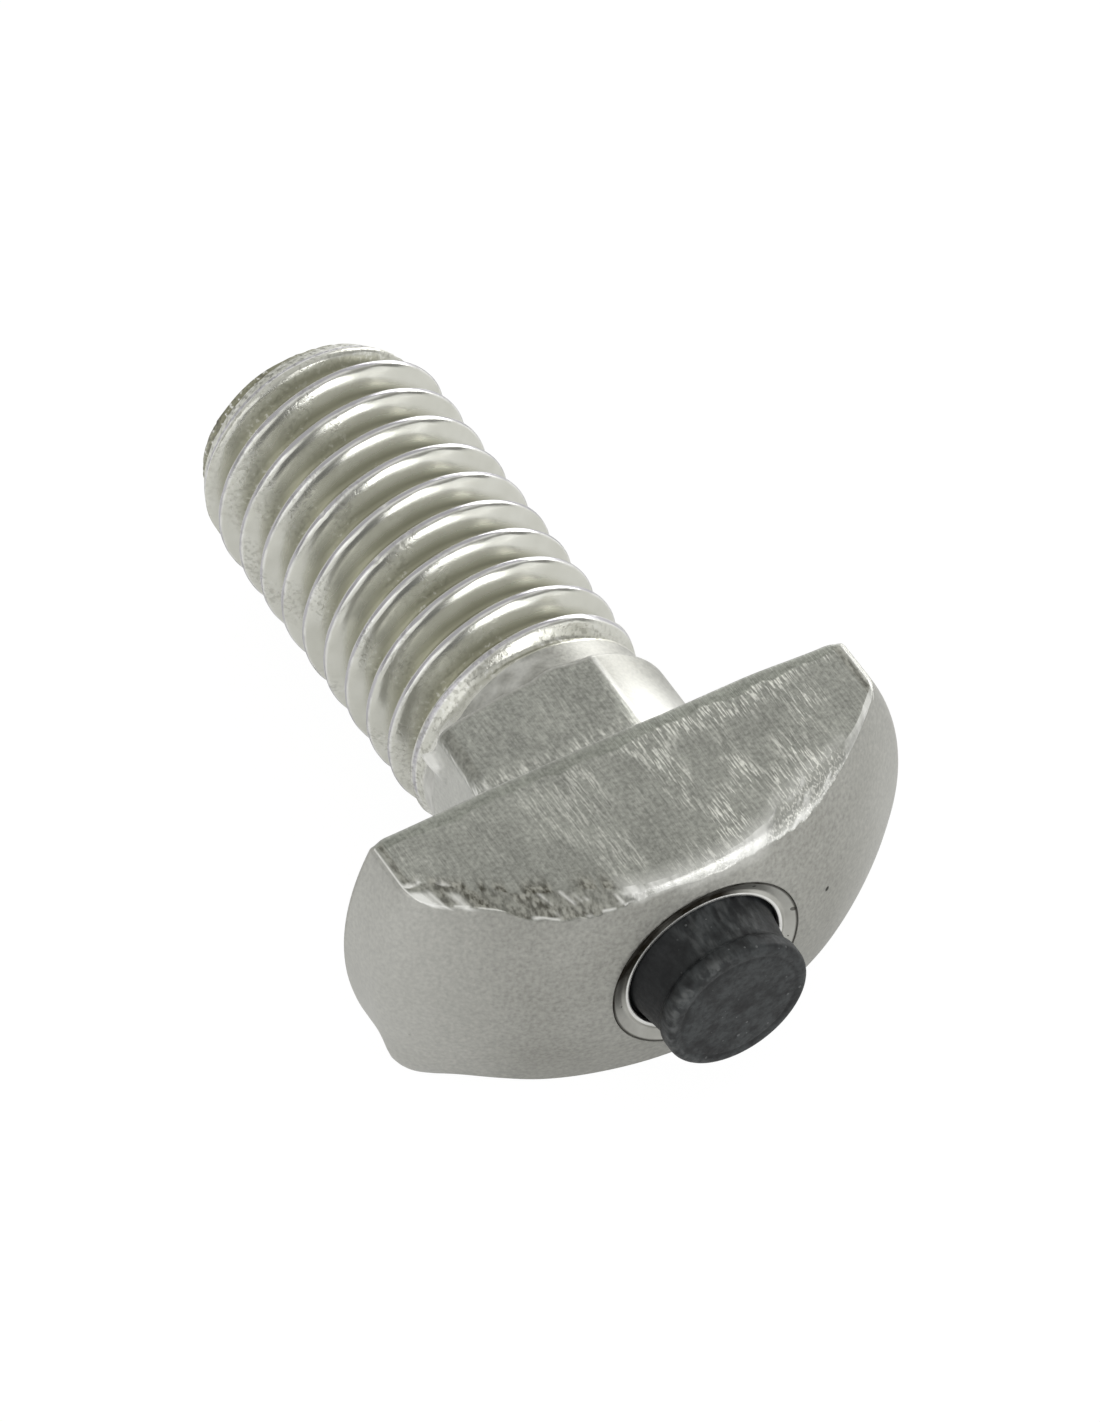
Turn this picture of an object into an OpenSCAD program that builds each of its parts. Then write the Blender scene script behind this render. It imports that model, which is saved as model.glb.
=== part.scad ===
// Hammer head bolt with a sprung plunger in its domed head, lying on one flat of the head.
// Y runs along the shank from the dome to the thread's tip, X along the head and Z square to its flats.
// The origin is on the axis, in the plane of the under-head seat. Sizes are in millimetres.

/* [Shank] */
// Major diameter of the thread
thread_d = 7.86; // [7.76:0.02:7.96]
// Length from the under-head seat to the tip
shank_l = 17.75; // [14:0.25:40]
// Length of the cone at the tip
tip_l = 1.5; // [0.8:0.1:2]
// Diameter of the tip's end face
tip_d = 6.1; // [5.4:0.1:6.8]
// Diameter of the relief between the neck and the thread
relief_d = 7.32; // [7:0.02:7.5]
// Height of the run-in from the neck's top to the relief
relief_in = 0.9; // [0.6:0.05:1.2]
// Length of the relief
relief_l = 0.5; // [0.3:0.05:0.7]
// Height above the seat at which the thread has its full diameter
thread_from = 5.6; // [5.2:0.1:7]

/* [Neck] */
// Width of the neck across the sides that stop in the slot
neck_x = 7.75; // [7.6:0.05:7.8]
// Width of the neck across the sides parallel to the head's flats
neck_z = 7.6; // [7.4:0.05:7.7]
// Diameter over the two rounded corners
neck_d = 7.92; // [7.86:0.02:8]
// Height of the rounded corners above the seat
neck_l = 3; // [2.6:0.1:3.4]
// Fall of the neck's top from the rounded corners to the square ones
neck_fall = 0.4; // [0.2:0.05:0.6]
// Height that the neck's top gains inwards before its run-in starts
neck_rise = 0.16; // [0.05:0.01:0.3]
// Diameter at which the run-in starts
run_in_d = 7.5; // [7.4:0.02:7.6]

/* [Head] */
// Diameter over the head's ends
head_d = 17.1; // [16:0.1:18]
// Width of the head across its flats
head_w = 7.75; // [7.6:0.05:8]
// Height of the head from the seat to the top of the dome
head_h = 6.07; // [5.7:0.01:6.6]
// Height at which the dome would meet the straight ends
end_h = 2.05; // [1.6:0.05:2.3]
// Rounding between the dome and the straight ends
end_edge = 0.8; // [0.3:0.05:1.2]
// Broken edge between the seat and the flats
seat_edge = 0.15; // [0.05:0.05:0.4]

/* [Sleeve] */
// Outer diameter of the push-fit sleeve
sleeve_d = 6; // [5.9:0.02:6.1]
// Wall of the sleeve
sleeve_wall = 0.3; // [0.25:0.05:0.35]
// Depth of the sleeve's hole below its mouth in the dome
sleeve_depth = 4.6; // [4.3:0.1:4.8]
// Floor of the sleeve
sleeve_floor = 0.35; // [0.3:0.05:0.5]
// Thickness of the rolled rim below the mouth of its hole
rim_l = 0.3; // [0.26:0.01:0.4]
// Depth of the rim's lip below the mouth
lip_in = 0.09; // [0.04:0.01:0.12]
// Width of the lip
lip_w = 0.09; // [0.06:0.01:0.12]
// Depth of the groove round the lip
groove = 0.16; // [0.13:0.01:0.2]
// Width of the groove's slope from the lip
groove_w = 0.12; // [0.08:0.01:0.16]
// Radial gap between the sleeve and its hole
press_gap = 0.01; // [0.005:0.005:0.02]

/* [Pin] */
// Diameter of the pin at its collar
pin_d = 4.66; // [4.6:0.02:4.7]
// Diameter of the pin's waist, behind the bead
waist_d = 4.26; // [4.1:0.02:4.4]
// Height of the pin above the mouth of the sleeve's hole
pin_out = 1.82; // [1.6:0.02:2]
// Diameter of the bead at the pin's outer end
bead_d = 4.54; // [4.4:0.02:4.6]
// Length of the bead
bead_l = 0.56; // [0.5:0.02:0.8]
// Rounding of the pin's outer edge, as a chamfer
pin_edge = 0.22; // [0.1:0.02:0.3]
// Length of the pin's collar inside the sleeve
collar_l = 1; // [0.8:0.05:1.1]
// Radial running gap of the collar in the sleeve
run_gap = 0.06; // [0.02:0.01:0.1]
// Radial gap between the pin and the rolled rim
rim_gap = 0.1; // [0.08:0.01:0.14]
// Gap between the collar and the rim that stops it
stop_gap = 0.02; // [0.01:0.01:0.05]

/* [Spring] */
// Diameter of the spring's wire
wire_d = 0.32; // [0.28:0.02:0.36]
// Number of turns of the spring
turns = 3.5; // [3:0.5:3.5]
// Radial gap between the spring and the sleeve
spring_gap = 0.12; // [0.08:0.02:0.2]

/* [Hidden] */
$fn = 96;
eps = 0.5;
thread_r = thread_d / 2;
neck_r = neck_d / 2;
relief_r = relief_d / 2;
head_r = head_d / 2;
dome_rise = head_h - end_h;
dome_r = (head_r * head_r + dome_rise * dome_rise) / (2 * dome_rise);
dome_c = dome_r - head_h;
edge_r = head_r - end_edge;
edge_h = sqrt(pow(dome_r - end_edge, 2) - edge_r * edge_r) - dome_c;
edge_slope = edge_r / (edge_h + dome_c);
relief_from = neck_l + relief_in;
relief_to = relief_from + relief_l;
corner_r = sqrt(neck_x * neck_x + neck_z * neck_z) / 2;
fall_slope = neck_fall / (corner_r - neck_r);
sleeve_r = sleeve_d / 2;
sleeve_in = sleeve_r - sleeve_wall;
mouth = dome_c - sqrt(dome_r * dome_r - sleeve_r * sleeve_r);
sleeve_end = mouth + sleeve_depth;
sleeve_bed = sleeve_end - sleeve_floor;
rim_under = mouth + rim_l;
pin_r = pin_d / 2;
waist_r = waist_d / 2;
bead_r = bead_d / 2;
rim_in = pin_r + rim_gap;
pin_top = mouth - pin_out;
collar_r = sleeve_in - run_gap;
collar_top = rim_under + stop_gap;
collar_end = collar_top + collar_l;
coil_r = sleeve_in - spring_gap - wire_d / 2;
coil_l = sleeve_bed - collar_end - stop_gap;
coil_pitch = (coil_l - wire_d * 0.3) / turns;

// Turns a body of revolution drawn about Z so that its axis runs along Y.
module along_y() {
  rotate([-90, 0, 0])
    children();
}

// Shank with the rounded corners of the neck, the relief, the thread's outside and the tip's cone.
module shank() {
  along_y()
    rotate_extrude()
      polygon([
        [0, -eps],
        [neck_r, -eps],
        [neck_r, neck_l],
        [run_in_d / 2, neck_l + neck_rise],
        [relief_r, relief_from],
        [relief_r, relief_to],
        [thread_r, thread_from],
        [thread_r, shank_l - tip_l],
        [tip_d / 2, shank_l],
        [0, shank_l]
      ]);
}

// Space the neck may fill, open above the neck so that the thread stays round.
module neck_flats() {
  translate([-neck_x / 2, -eps, -neck_z / 2])
    cube([neck_x, relief_to + eps, neck_z]);
  translate([-head_r, relief_from, -head_r])
    cube([head_d, shank_l, head_d]);
}

// Two square corners on one diagonal, which stop against the slot's walls.
module square_corners() {
  intersection() {
    union() {
      translate([-neck_x / 2, -eps, 0])
        cube([neck_x / 2, neck_l + eps, neck_z / 2]);
      translate([0, -eps, -neck_z / 2])
        cube([neck_x / 2, neck_l + eps, neck_z / 2]);
    }
    along_y()
      rotate_extrude()
        polygon([
          [0, -eps],
          [corner_r + 1, -eps],
          [corner_r + 1, neck_l - fall_slope * (corner_r + 1 - neck_r)],
          [neck_r, neck_l],
          [0, neck_l]
        ]);
  }
}

// Half section of the domed disc: straight end, rounded edge and dome, upwards from the seat.
module head_section() {
  square([head_r, edge_h]);
  translate([edge_r, edge_h])
    circle(r = end_edge);
  intersection() {
    translate([0, -dome_c])
      circle(r = dome_r);
    polygon([
      [0, 0],
      [dome_c * edge_slope, 0],
      [(dome_c + head_h + 1) * edge_slope, head_h + 1],
      [0, head_h + 1]
    ]);
  }
}

// Domed disc cut down by two flats.
module head() {
  intersection() {
    rotate([90, 0, 0])
      rotate_extrude()
        head_section();
    translate([-head_r, 0, 0])
      rotate([90, 0, 90])
        linear_extrude(height = head_d)
          polygon([
            [-head_h - 1, -head_w / 2],
            [-seat_edge, -head_w / 2],
            [0, -head_w / 2 + seat_edge / 3],
            [0, head_w / 2 - seat_edge / 3],
            [-seat_edge, head_w / 2],
            [-head_h - 1, head_w / 2]
          ]);
  }
}

// Blind hole in the dome for the sleeve.
module sleeve_hole() {
  along_y()
    translate([0, 0, -head_h - 1])
      cylinder(r = sleeve_r + press_gap, h = sleeve_end + head_h + 1);
}

// The forged bolt in one piece.
module bolt() {
  color([0.62, 0.61, 0.58])
    difference() {
      union() {
        intersection() {
          shank();
          neck_flats();
        }
        square_corners();
        head();
      }
      sleeve_hole();
    }
}

// Push-fit cup, its rim rolled in over the pin's collar to a lip with a groove round it.
module plunger_sleeve() {
  color([0.72, 0.71, 0.68])
    along_y()
      rotate_extrude()
        polygon([
          [0, sleeve_end],
          [sleeve_r, sleeve_end],
          [sleeve_r, mouth],
          [rim_in + lip_w + groove_w, mouth + groove],
          [rim_in + lip_w, mouth + lip_in],
          [rim_in, mouth + lip_in],
          [rim_in, rim_under],
          [sleeve_in, rim_under],
          [sleeve_in, sleeve_bed],
          [0, sleeve_bed]
        ]);
}

// Dark pin with a collar behind the rim, a waist and a bead at its outer end.
module plunger_pin() {
  color([0.1, 0.11, 0.13])
    along_y()
      rotate_extrude()
        polygon([
          [0, collar_end],
          [collar_r, collar_end],
          [collar_r, collar_top],
          [pin_r, collar_top],
          [waist_r, pin_top + bead_l + bead_r - waist_r],
          [bead_r, pin_top + bead_l],
          [bead_r, pin_top + pin_edge],
          [bead_r - pin_edge, pin_top],
          [0, pin_top]
        ]);
}

// Section of the coiled wire in a plane square to the coil's axis.
module wire_section() {
  polygon([
    for (i = [0:11])
      let (t = 360 * i / 12, r = coil_r + wire_d / 2 * cos(t), a = 180 * wire_d * sin(t) / coil_pitch)
        [r * cos(a), r * sin(a)]
  ]);
}

// Return spring between the sleeve's floor and the pin's collar, with ground ends.
module plunger_spring() {
  color([0.55, 0.55, 0.56])
    translate([0, sleeve_bed, 0])
      rotate([90, 0, 0])
        linear_extrude(height = coil_l, twist = -360 * coil_l / coil_pitch, slices = 72, $fn = 12)
          wire_section();
}

bolt();
plunger_sleeve();
plunger_pin();
plunger_spring();
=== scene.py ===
import math
from types import SimpleNamespace
import bpy
import numpy as np
from mathutils import Matrix, Vector


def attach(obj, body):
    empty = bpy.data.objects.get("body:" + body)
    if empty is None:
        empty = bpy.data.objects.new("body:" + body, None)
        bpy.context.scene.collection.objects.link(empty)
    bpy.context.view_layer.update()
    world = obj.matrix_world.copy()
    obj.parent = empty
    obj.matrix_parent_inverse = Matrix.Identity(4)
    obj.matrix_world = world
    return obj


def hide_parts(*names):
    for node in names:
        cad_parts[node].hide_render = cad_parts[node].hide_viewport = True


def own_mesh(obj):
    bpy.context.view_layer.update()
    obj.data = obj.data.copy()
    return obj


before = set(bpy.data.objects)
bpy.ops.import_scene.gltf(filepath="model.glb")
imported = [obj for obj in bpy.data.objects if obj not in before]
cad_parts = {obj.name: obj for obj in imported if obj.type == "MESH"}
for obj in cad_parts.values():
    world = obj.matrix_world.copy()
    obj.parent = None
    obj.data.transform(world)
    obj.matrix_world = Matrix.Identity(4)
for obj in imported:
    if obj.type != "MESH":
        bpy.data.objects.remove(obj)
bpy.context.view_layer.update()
scene = bpy.context.scene
mm = 0.001

print("frame loaded:", sorted(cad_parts))


# small helpers for node trees, whose nodes are set out in a grid

nodeGrid = {"columns": 8, "across": 220, "down": 260}
fadeIn, fadeOut = (0.0, 1.0), (1.0, 0.0)
noiseSpan, grainSpan = (0.3, 0.7), (0.25, 0.75)  # most of a noise's values lie between these


def addNode(tree, kind, **settings):
    row, column = divmod(len(tree.nodes), nodeGrid["columns"])
    node = tree.nodes.new(kind)
    node.location = (column * nodeGrid["across"], -row * nodeGrid["down"])
    for name, value in settings.items():
        setattr(node, name, value)
    return node


def plug(tree, socket, value):
    if value is None:
        return
    if isinstance(value, tuple) and len(value) < len(socket.default_value):
        value = (*value, 1.0)
    if isinstance(value, (int, float, tuple)):
        socket.default_value = value
    else:
        tree.links.new(value, socket)


def mathNode(tree, operation, first, second=None):
    node = addNode(tree, "ShaderNodeMath", operation=operation)
    plug(tree, node.inputs[0], first)
    plug(tree, node.inputs[1], second)
    return node.outputs[0]


def times(tree, first, second):
    return mathNode(tree, "MULTIPLY", first, second)


def mixColour(tree, factor, low, high, blend="MIX"):
    node = addNode(tree, "ShaderNodeMix", data_type="RGBA", blend_type=blend)
    plug(tree, node.inputs[0], factor)
    plug(tree, node.inputs[6], low)
    plug(tree, node.inputs[7], high)
    return node.outputs[2]


def mapValue(tree, value, span, result, smooth=False):
    node = addNode(tree, "ShaderNodeMapRange")
    node.interpolation_type = "SMOOTHSTEP" if smooth else "LINEAR"
    for socket, number in zip(node.inputs, (value, *span, *result)):
        plug(tree, socket, number)
    return node.outputs[0]


def noiseNode(tree, where, scale, detail):
    node = addNode(tree, "ShaderNodeTexNoise")
    node.inputs["Detail"].default_value = detail
    plug(tree, node.inputs["Vector"], where)
    plug(tree, node.inputs["Scale"], scale)
    return node.outputs[0]


def stretchedNoise(tree, where, factors, detail, scale=1.0):
    node = addNode(tree, "ShaderNodeVectorMath", operation="MULTIPLY")
    node.inputs[1].default_value = factors
    tree.links.new(where, node.inputs[0])
    return noiseNode(tree, node.outputs[0], scale, detail)


def newGroup(name, inputs, outputs):
    group = bpy.data.node_groups.new(name, "ShaderNodeTree")
    for label, kind, value in inputs:
        socket = group.interface.new_socket(label, in_out="INPUT", socket_type=kind)
        if value is not None:
            socket.default_value = value
    for label in outputs:
        group.interface.new_socket(label, in_out="OUTPUT", socket_type="NodeSocketFloat")
    return group, addNode(group, "NodeGroupInput"), addNode(group, "NodeGroupOutput")


def useGroup(tree, group, **values):
    node = addNode(tree, "ShaderNodeGroup")
    node.node_tree = group
    for label, value in values.items():
        plug(tree, node.inputs[label], value)
    return node.outputs


# shader groups shared by the finishes, worked in millimetres of the object's own coordinates

def millimetres(tree):
    where = addNode(tree, "ShaderNodeTexCoord")
    scale = addNode(tree, "ShaderNodeMapping")
    scale.inputs["Scale"].default_value = (1 / mm, 1 / mm, 1 / mm)
    tree.links.new(where.outputs["Object"], scale.inputs["Vector"])
    return scale.outputs[0]


markSizes = {
    "least": 0.62, "edge": 0.08, "brush": (12.0, 1.8, 12.0), "brushDetail": 3.0,
    "marks": (18.0, 1.7, 18.0), "marksDetail": 1.5, "patches": (1.0, 0.7, 1.0), "patchScale": 0.7,
    "patchDetail": 1.0, "patchSpan": (0.38, 0.60), "patchShare": (0.10, 1.0),
}


# fine brushing, and scratches that gather in patches
def makeToolMarks(s):
    inputs = [("Where", "NodeSocketVector", None), ("Least", "NodeSocketFloat", s["least"])]
    group, entry, leave = newGroup("toolMarks", inputs, ["Brush", "Scratch"])
    where, least = entry.outputs["Where"], entry.outputs["Least"]
    brush = stretchedNoise(group, where, s["brush"], s["brushDetail"])
    marks = stretchedNoise(group, where, s["marks"], s["marksDetail"])
    patches = stretchedNoise(group, where, s["patches"], s["patchDetail"], s["patchScale"])
    most = mathNode(group, "ADD", least, s["edge"])
    scratch = mapValue(group, marks, (least, most), fadeIn, smooth=True)
    patchy = mapValue(group, patches, s["patchSpan"], s["patchShare"], smooth=True)
    group.links.new(brush, leave.inputs["Brush"])
    group.links.new(times(group, scratch, patchy), leave.inputs["Scratch"])
    return group


mottleSizes = {
    "size": 1.5, "toneDetail": 3.0, "toneSpan": (0.32, 0.68), "grainScale": 8.0, "grainDetail": 4.0,
}


def makeMottle(s):
    inputs = [("Where", "NodeSocketVector", None), ("Size", "NodeSocketFloat", s["size"])]
    group, entry, leave = newGroup("mottle", inputs, ["Tone", "Grain"])
    where = entry.outputs["Where"]
    scale = mathNode(group, "DIVIDE", 1.0, entry.outputs["Size"])
    tone = mapValue(group, noiseNode(group, where, scale, s["toneDetail"]), s["toneSpan"], fadeIn)
    grain = noiseNode(group, where, s["grainScale"], s["grainDetail"])
    group.links.new(tone, leave.inputs["Tone"])
    group.links.new(grain, leave.inputs["Grain"])
    return group


def makeSpecks(spacing=0.8, radius=0.06):
    inputs = [("Where", "NodeSocketVector", None)]
    inputs += [("Spacing", "NodeSocketFloat", spacing), ("Radius", "NodeSocketFloat", radius)]
    group, entry, leave = newGroup("specks", inputs, ["Mask"])
    cells = addNode(group, "ShaderNodeTexVoronoi")
    group.links.new(entry.outputs["Where"], cells.inputs["Vector"])
    scale = mathNode(group, "DIVIDE", 1.0, entry.outputs["Spacing"])
    group.links.new(scale, cells.inputs["Scale"])
    shade = addNode(group, "ShaderNodeSeparateColor")
    group.links.new(cells.outputs["Color"], shade.inputs[0])
    varied = times(group, times(group, entry.outputs["Radius"], scale), shade.outputs[0])
    inside = mathNode(group, "LESS_THAN", cells.outputs["Distance"], varied)
    group.links.new(inside, leave.inputs["Mask"])
    return group


toolMarks = makeToolMarks(markSizes)
mottle = makeMottle(mottleSizes)
specks = makeSpecks()


def newMaterial(name, metallic, roughness):
    material = bpy.data.materials.new(name)
    material.use_nodes = True
    tree = material.node_tree
    shader = tree.nodes["Principled BSDF"]
    shader.inputs["Metallic"].default_value = metallic
    shader.inputs["Roughness"].default_value = roughness
    return material, tree, shader


def setBump(tree, shader, height, strength, reach):
    bump = addNode(tree, "ShaderNodeBump")
    bump.inputs["Strength"].default_value = strength
    bump.inputs["Distance"].default_value = reach * mm
    tree.links.new(height, bump.inputs["Height"])
    tree.links.new(bump.outputs[0], shader.inputs["Normal"])


def readMask(tree, name):
    return addNode(tree, "ShaderNodeAttribute", attribute_name=name).outputs["Fac"]


# the head's and neck's sides, sheared and brushed along the bolt
shearedLook = {
    "colour": (0.366, 0.371, 0.340), "scratch": (0.73, 0.73, 0.68), "strip": (0.32, 0.33, 0.295),
    "torn": (0.085, 0.080, 0.062), "tornPale": (0.45, 0.445, 0.395), "bright": (0.97, 0.97, 0.94),
    "leastMark": 0.515, "patchSize": 1.6, "toneShare": (0.89, 1.10), "brushShare": (0.87, 1.13),
    "grainShare": (0.73, 1.27), "borderNoise": (1.3, 2.0), "borderShift": (-0.10, 0.10),
    "stripFrom": (-0.44, -0.36), "stripTo": (-0.02, 0.02), "footFrom": (0.0, 0.12), "footTo": (0.15, 0.8),
    "footShare": (0.6, 0.0), "streakSpan": (0.46, 0.66), "scoredX": (-4.5, 3.5), "scoredShare": (0.2, 1.15),
    "neckFrom": (-0.1, 0.1), "neckShare": (1.0, 0.3), "rips": (8.0, 4.2, 4.2), "ripDetail": 5.0,
    "ripSpan": (0.40, 0.62), "roughness": (0.36, 0.48), "tornRougher": 0.15, "brightSmoother": 0.08,
    "metallic": (1.0, 0.4), "scratchDepth": 0.4, "bump": (0.20, 0.05),
}


def makeShearedSteel(look):
    material, tree, shader = newMaterial("shearedSteel", 1.0, 0.42)
    where = millimetres(tree)
    parts = addNode(tree, "ShaderNodeSeparateXYZ")
    tree.links.new(where, parts.inputs[0])
    along, height = parts.outputs[0], parts.outputs[1]
    marks = useGroup(tree, toolMarks, Where=where, Least=look["leastMark"])
    patch = useGroup(tree, mottle, Where=where, Size=look["patchSize"])
    torn = readMask(tree, "torn")
    # painted highlights: this mask turns worn edges, burrs and the head's ends white and less metallic
    bright = readMask(tree, "bright")

    tone = mapValue(tree, patch["Tone"], fadeIn, look["toneShare"])
    fine = mapValue(tree, marks["Brush"], noiseSpan, look["brushShare"])
    grainy = mapValue(tree, patch["Grain"], grainSpan, look["grainShare"])
    shade = times(tree, times(tree, tone, fine), grainy)

    # the pressed strip under the seat, its lower border uneven
    uneven = mapValue(tree, noiseNode(tree, where, *look["borderNoise"]), noiseSpan, look["borderShift"])
    border = mathNode(tree, "ADD", height, uneven)
    strip = mapValue(tree, border, look["stripFrom"], fadeIn, smooth=True)
    strip = times(tree, strip, mapValue(tree, height, look["stripTo"], fadeOut))
    # pale streaks at the neck's foot
    foot = mapValue(tree, height, look["footTo"], look["footShare"], smooth=True)
    foot = times(tree, foot, mapValue(tree, height, look["footFrom"], fadeIn))
    streaks = mapValue(tree, marks["Brush"], look["streakSpan"], fadeIn, smooth=True)
    # the flats are scored on their right, the neck hardly
    onRight = mapValue(tree, along, look["scoredX"], look["scoredShare"], smooth=True)
    offNeck = mapValue(tree, height, look["neckFrom"], look["neckShare"])
    scored = times(tree, times(tree, marks["Scratch"], onRight), offNeck)
    scratch = mathNode(tree, "MAXIMUM", scored, times(tree, foot, streaks))

    # torn metal, dark and streaky; the same mask also carries painted shade on the neck's left bevel and
    # between the crumple's ridges
    rips = stretchedNoise(tree, where, look["rips"], look["ripDetail"])
    ripped = mapValue(tree, rips, look["ripSpan"], fadeIn)
    tornColour = mixColour(tree, ripped, look["torn"], look["tornPale"])
    colour = mixColour(tree, scratch, look["colour"], look["scratch"])
    colour = mixColour(tree, strip, colour, look["strip"])
    colour = mixColour(tree, 1.0, colour, shade, blend="MULTIPLY")
    colour = mixColour(tree, torn, colour, tornColour)
    colour = mixColour(tree, bright, colour, look["bright"])
    tree.links.new(colour, shader.inputs["Base Color"])

    rough = mapValue(tree, marks["Brush"], noiseSpan, look["roughness"])
    rough = mathNode(tree, "ADD", rough, times(tree, torn, look["tornRougher"]))
    rough = mathNode(tree, "SUBTRACT", rough, times(tree, bright, look["brightSmoother"]))
    tree.links.new(rough, shader.inputs["Roughness"])
    tree.links.new(mapValue(tree, bright, fadeIn, look["metallic"]), shader.inputs["Metallic"])
    relief = mathNode(tree, "SUBTRACT", marks["Brush"], times(tree, scratch, look["scratchDepth"]))
    relief = mathNode(tree, "ADD", relief, times(tree, rips, torn))
    setBump(tree, shader, relief, *look["bump"])
    return material


# the dome, the ends, the seat, the neck's top and its rounded corners, smooth from the forging die
forgedLook = {
    "colour": (0.355, 0.353, 0.325), "pale": (0.405, 0.403, 0.375), "pit": (0.03, 0.03, 0.025),
    "bright": (0.97, 0.97, 0.94), "pitPlace": (4.19, -5.25, 0.27), "pitEdge": (0.06, 0.10),
    "patchSize": 2.8, "smallSpacing": 1.5, "smallRadius": 0.06, "smallShare": 0.35,
    "grainShare": (0.77, 1.23), "roughness": (0.42, 0.52), "brightSmoother": 0.14, "metallic": (1.0, 0.4),
    "bump": (0.20, 0.04),
}


def makeForgedSteel(look):
    material, tree, shader = newMaterial("forgedSteel", 1.0, 0.46)
    where = millimetres(tree)
    patch = useGroup(tree, mottle, Where=where, Size=look["patchSize"])
    small = useGroup(tree, specks, Where=where, Spacing=look["smallSpacing"], Radius=look["smallRadius"])
    away = addNode(tree, "ShaderNodeVectorMath", operation="DISTANCE")
    tree.links.new(where, away.inputs[0])
    away.inputs[1].default_value = look["pitPlace"]
    onePit = mapValue(tree, away.outputs["Value"], look["pitEdge"], fadeOut)
    pitted = mathNode(tree, "MAXIMUM", onePit, times(tree, small["Mask"], look["smallShare"]))
    # painted highlights: the same mask whitens the rounded corners, the seat's edge, the burr and the ends
    bright = readMask(tree, "bright")
    colour = mixColour(tree, patch["Tone"], look["colour"], look["pale"])
    grain = mapValue(tree, patch["Grain"], grainSpan, look["grainShare"])
    colour = mixColour(tree, 1.0, colour, grain, blend="MULTIPLY")
    colour = mixColour(tree, pitted, colour, look["pit"])
    colour = mixColour(tree, bright, colour, look["bright"])
    tree.links.new(colour, shader.inputs["Base Color"])
    rough = mapValue(tree, patch["Grain"], noiseSpan, look["roughness"])
    rough = mathNode(tree, "SUBTRACT", rough, times(tree, bright, look["brightSmoother"]))
    tree.links.new(rough, shader.inputs["Roughness"])
    tree.links.new(mapValue(tree, bright, fadeIn, look["metallic"]), shader.inputs["Metallic"])
    setBump(tree, shader, mathNode(tree, "SUBTRACT", patch["Grain"], pitted), *look["bump"])
    return material


# the rolled thread, shinier than the head
rolledLook = {
    "colour": (0.64, 0.64, 0.58), "pale": (0.72, 0.72, 0.665), "crest": (0.53, 0.52, 0.55),
    "root": (0.365, 0.360, 0.270), "highlightLine": (0.88, 0.88, 0.85), "grit": (0.24, 0.235, 0.20),
    "patchSize": 1.1, "gritScale": 7.0, "gritDetail": 3.0, "scars": (1.6, 3.0, 1.6), "scarDetail": 2.0,
    "crestDepth": (0.08, 0.14), "rootDepth": (0.45, 0.90), "edgeFrom": (0.05, 0.11), "edgeTo": (0.11, 0.20),
    "sideSpan": (-0.2, 0.2), "sideShare": (1.0, 0.45), "scarSpan": (0.37, 0.54), "scarShare": (0.2, 1.0),
    "dullSpan": (0.50, 0.36), "dullShare": (0.0, 0.7), "glintSpan": (0.58, 0.68), "roughness": (0.24, 0.17),
    "wornRougher": 0.16, "rootRougher": 0.20, "metallic": (1.0, 0.8), "seamDepth": (0.0, 0.09),
    "grainDepth": 0.10, "bump": (0.25, 0.04),
}


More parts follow.
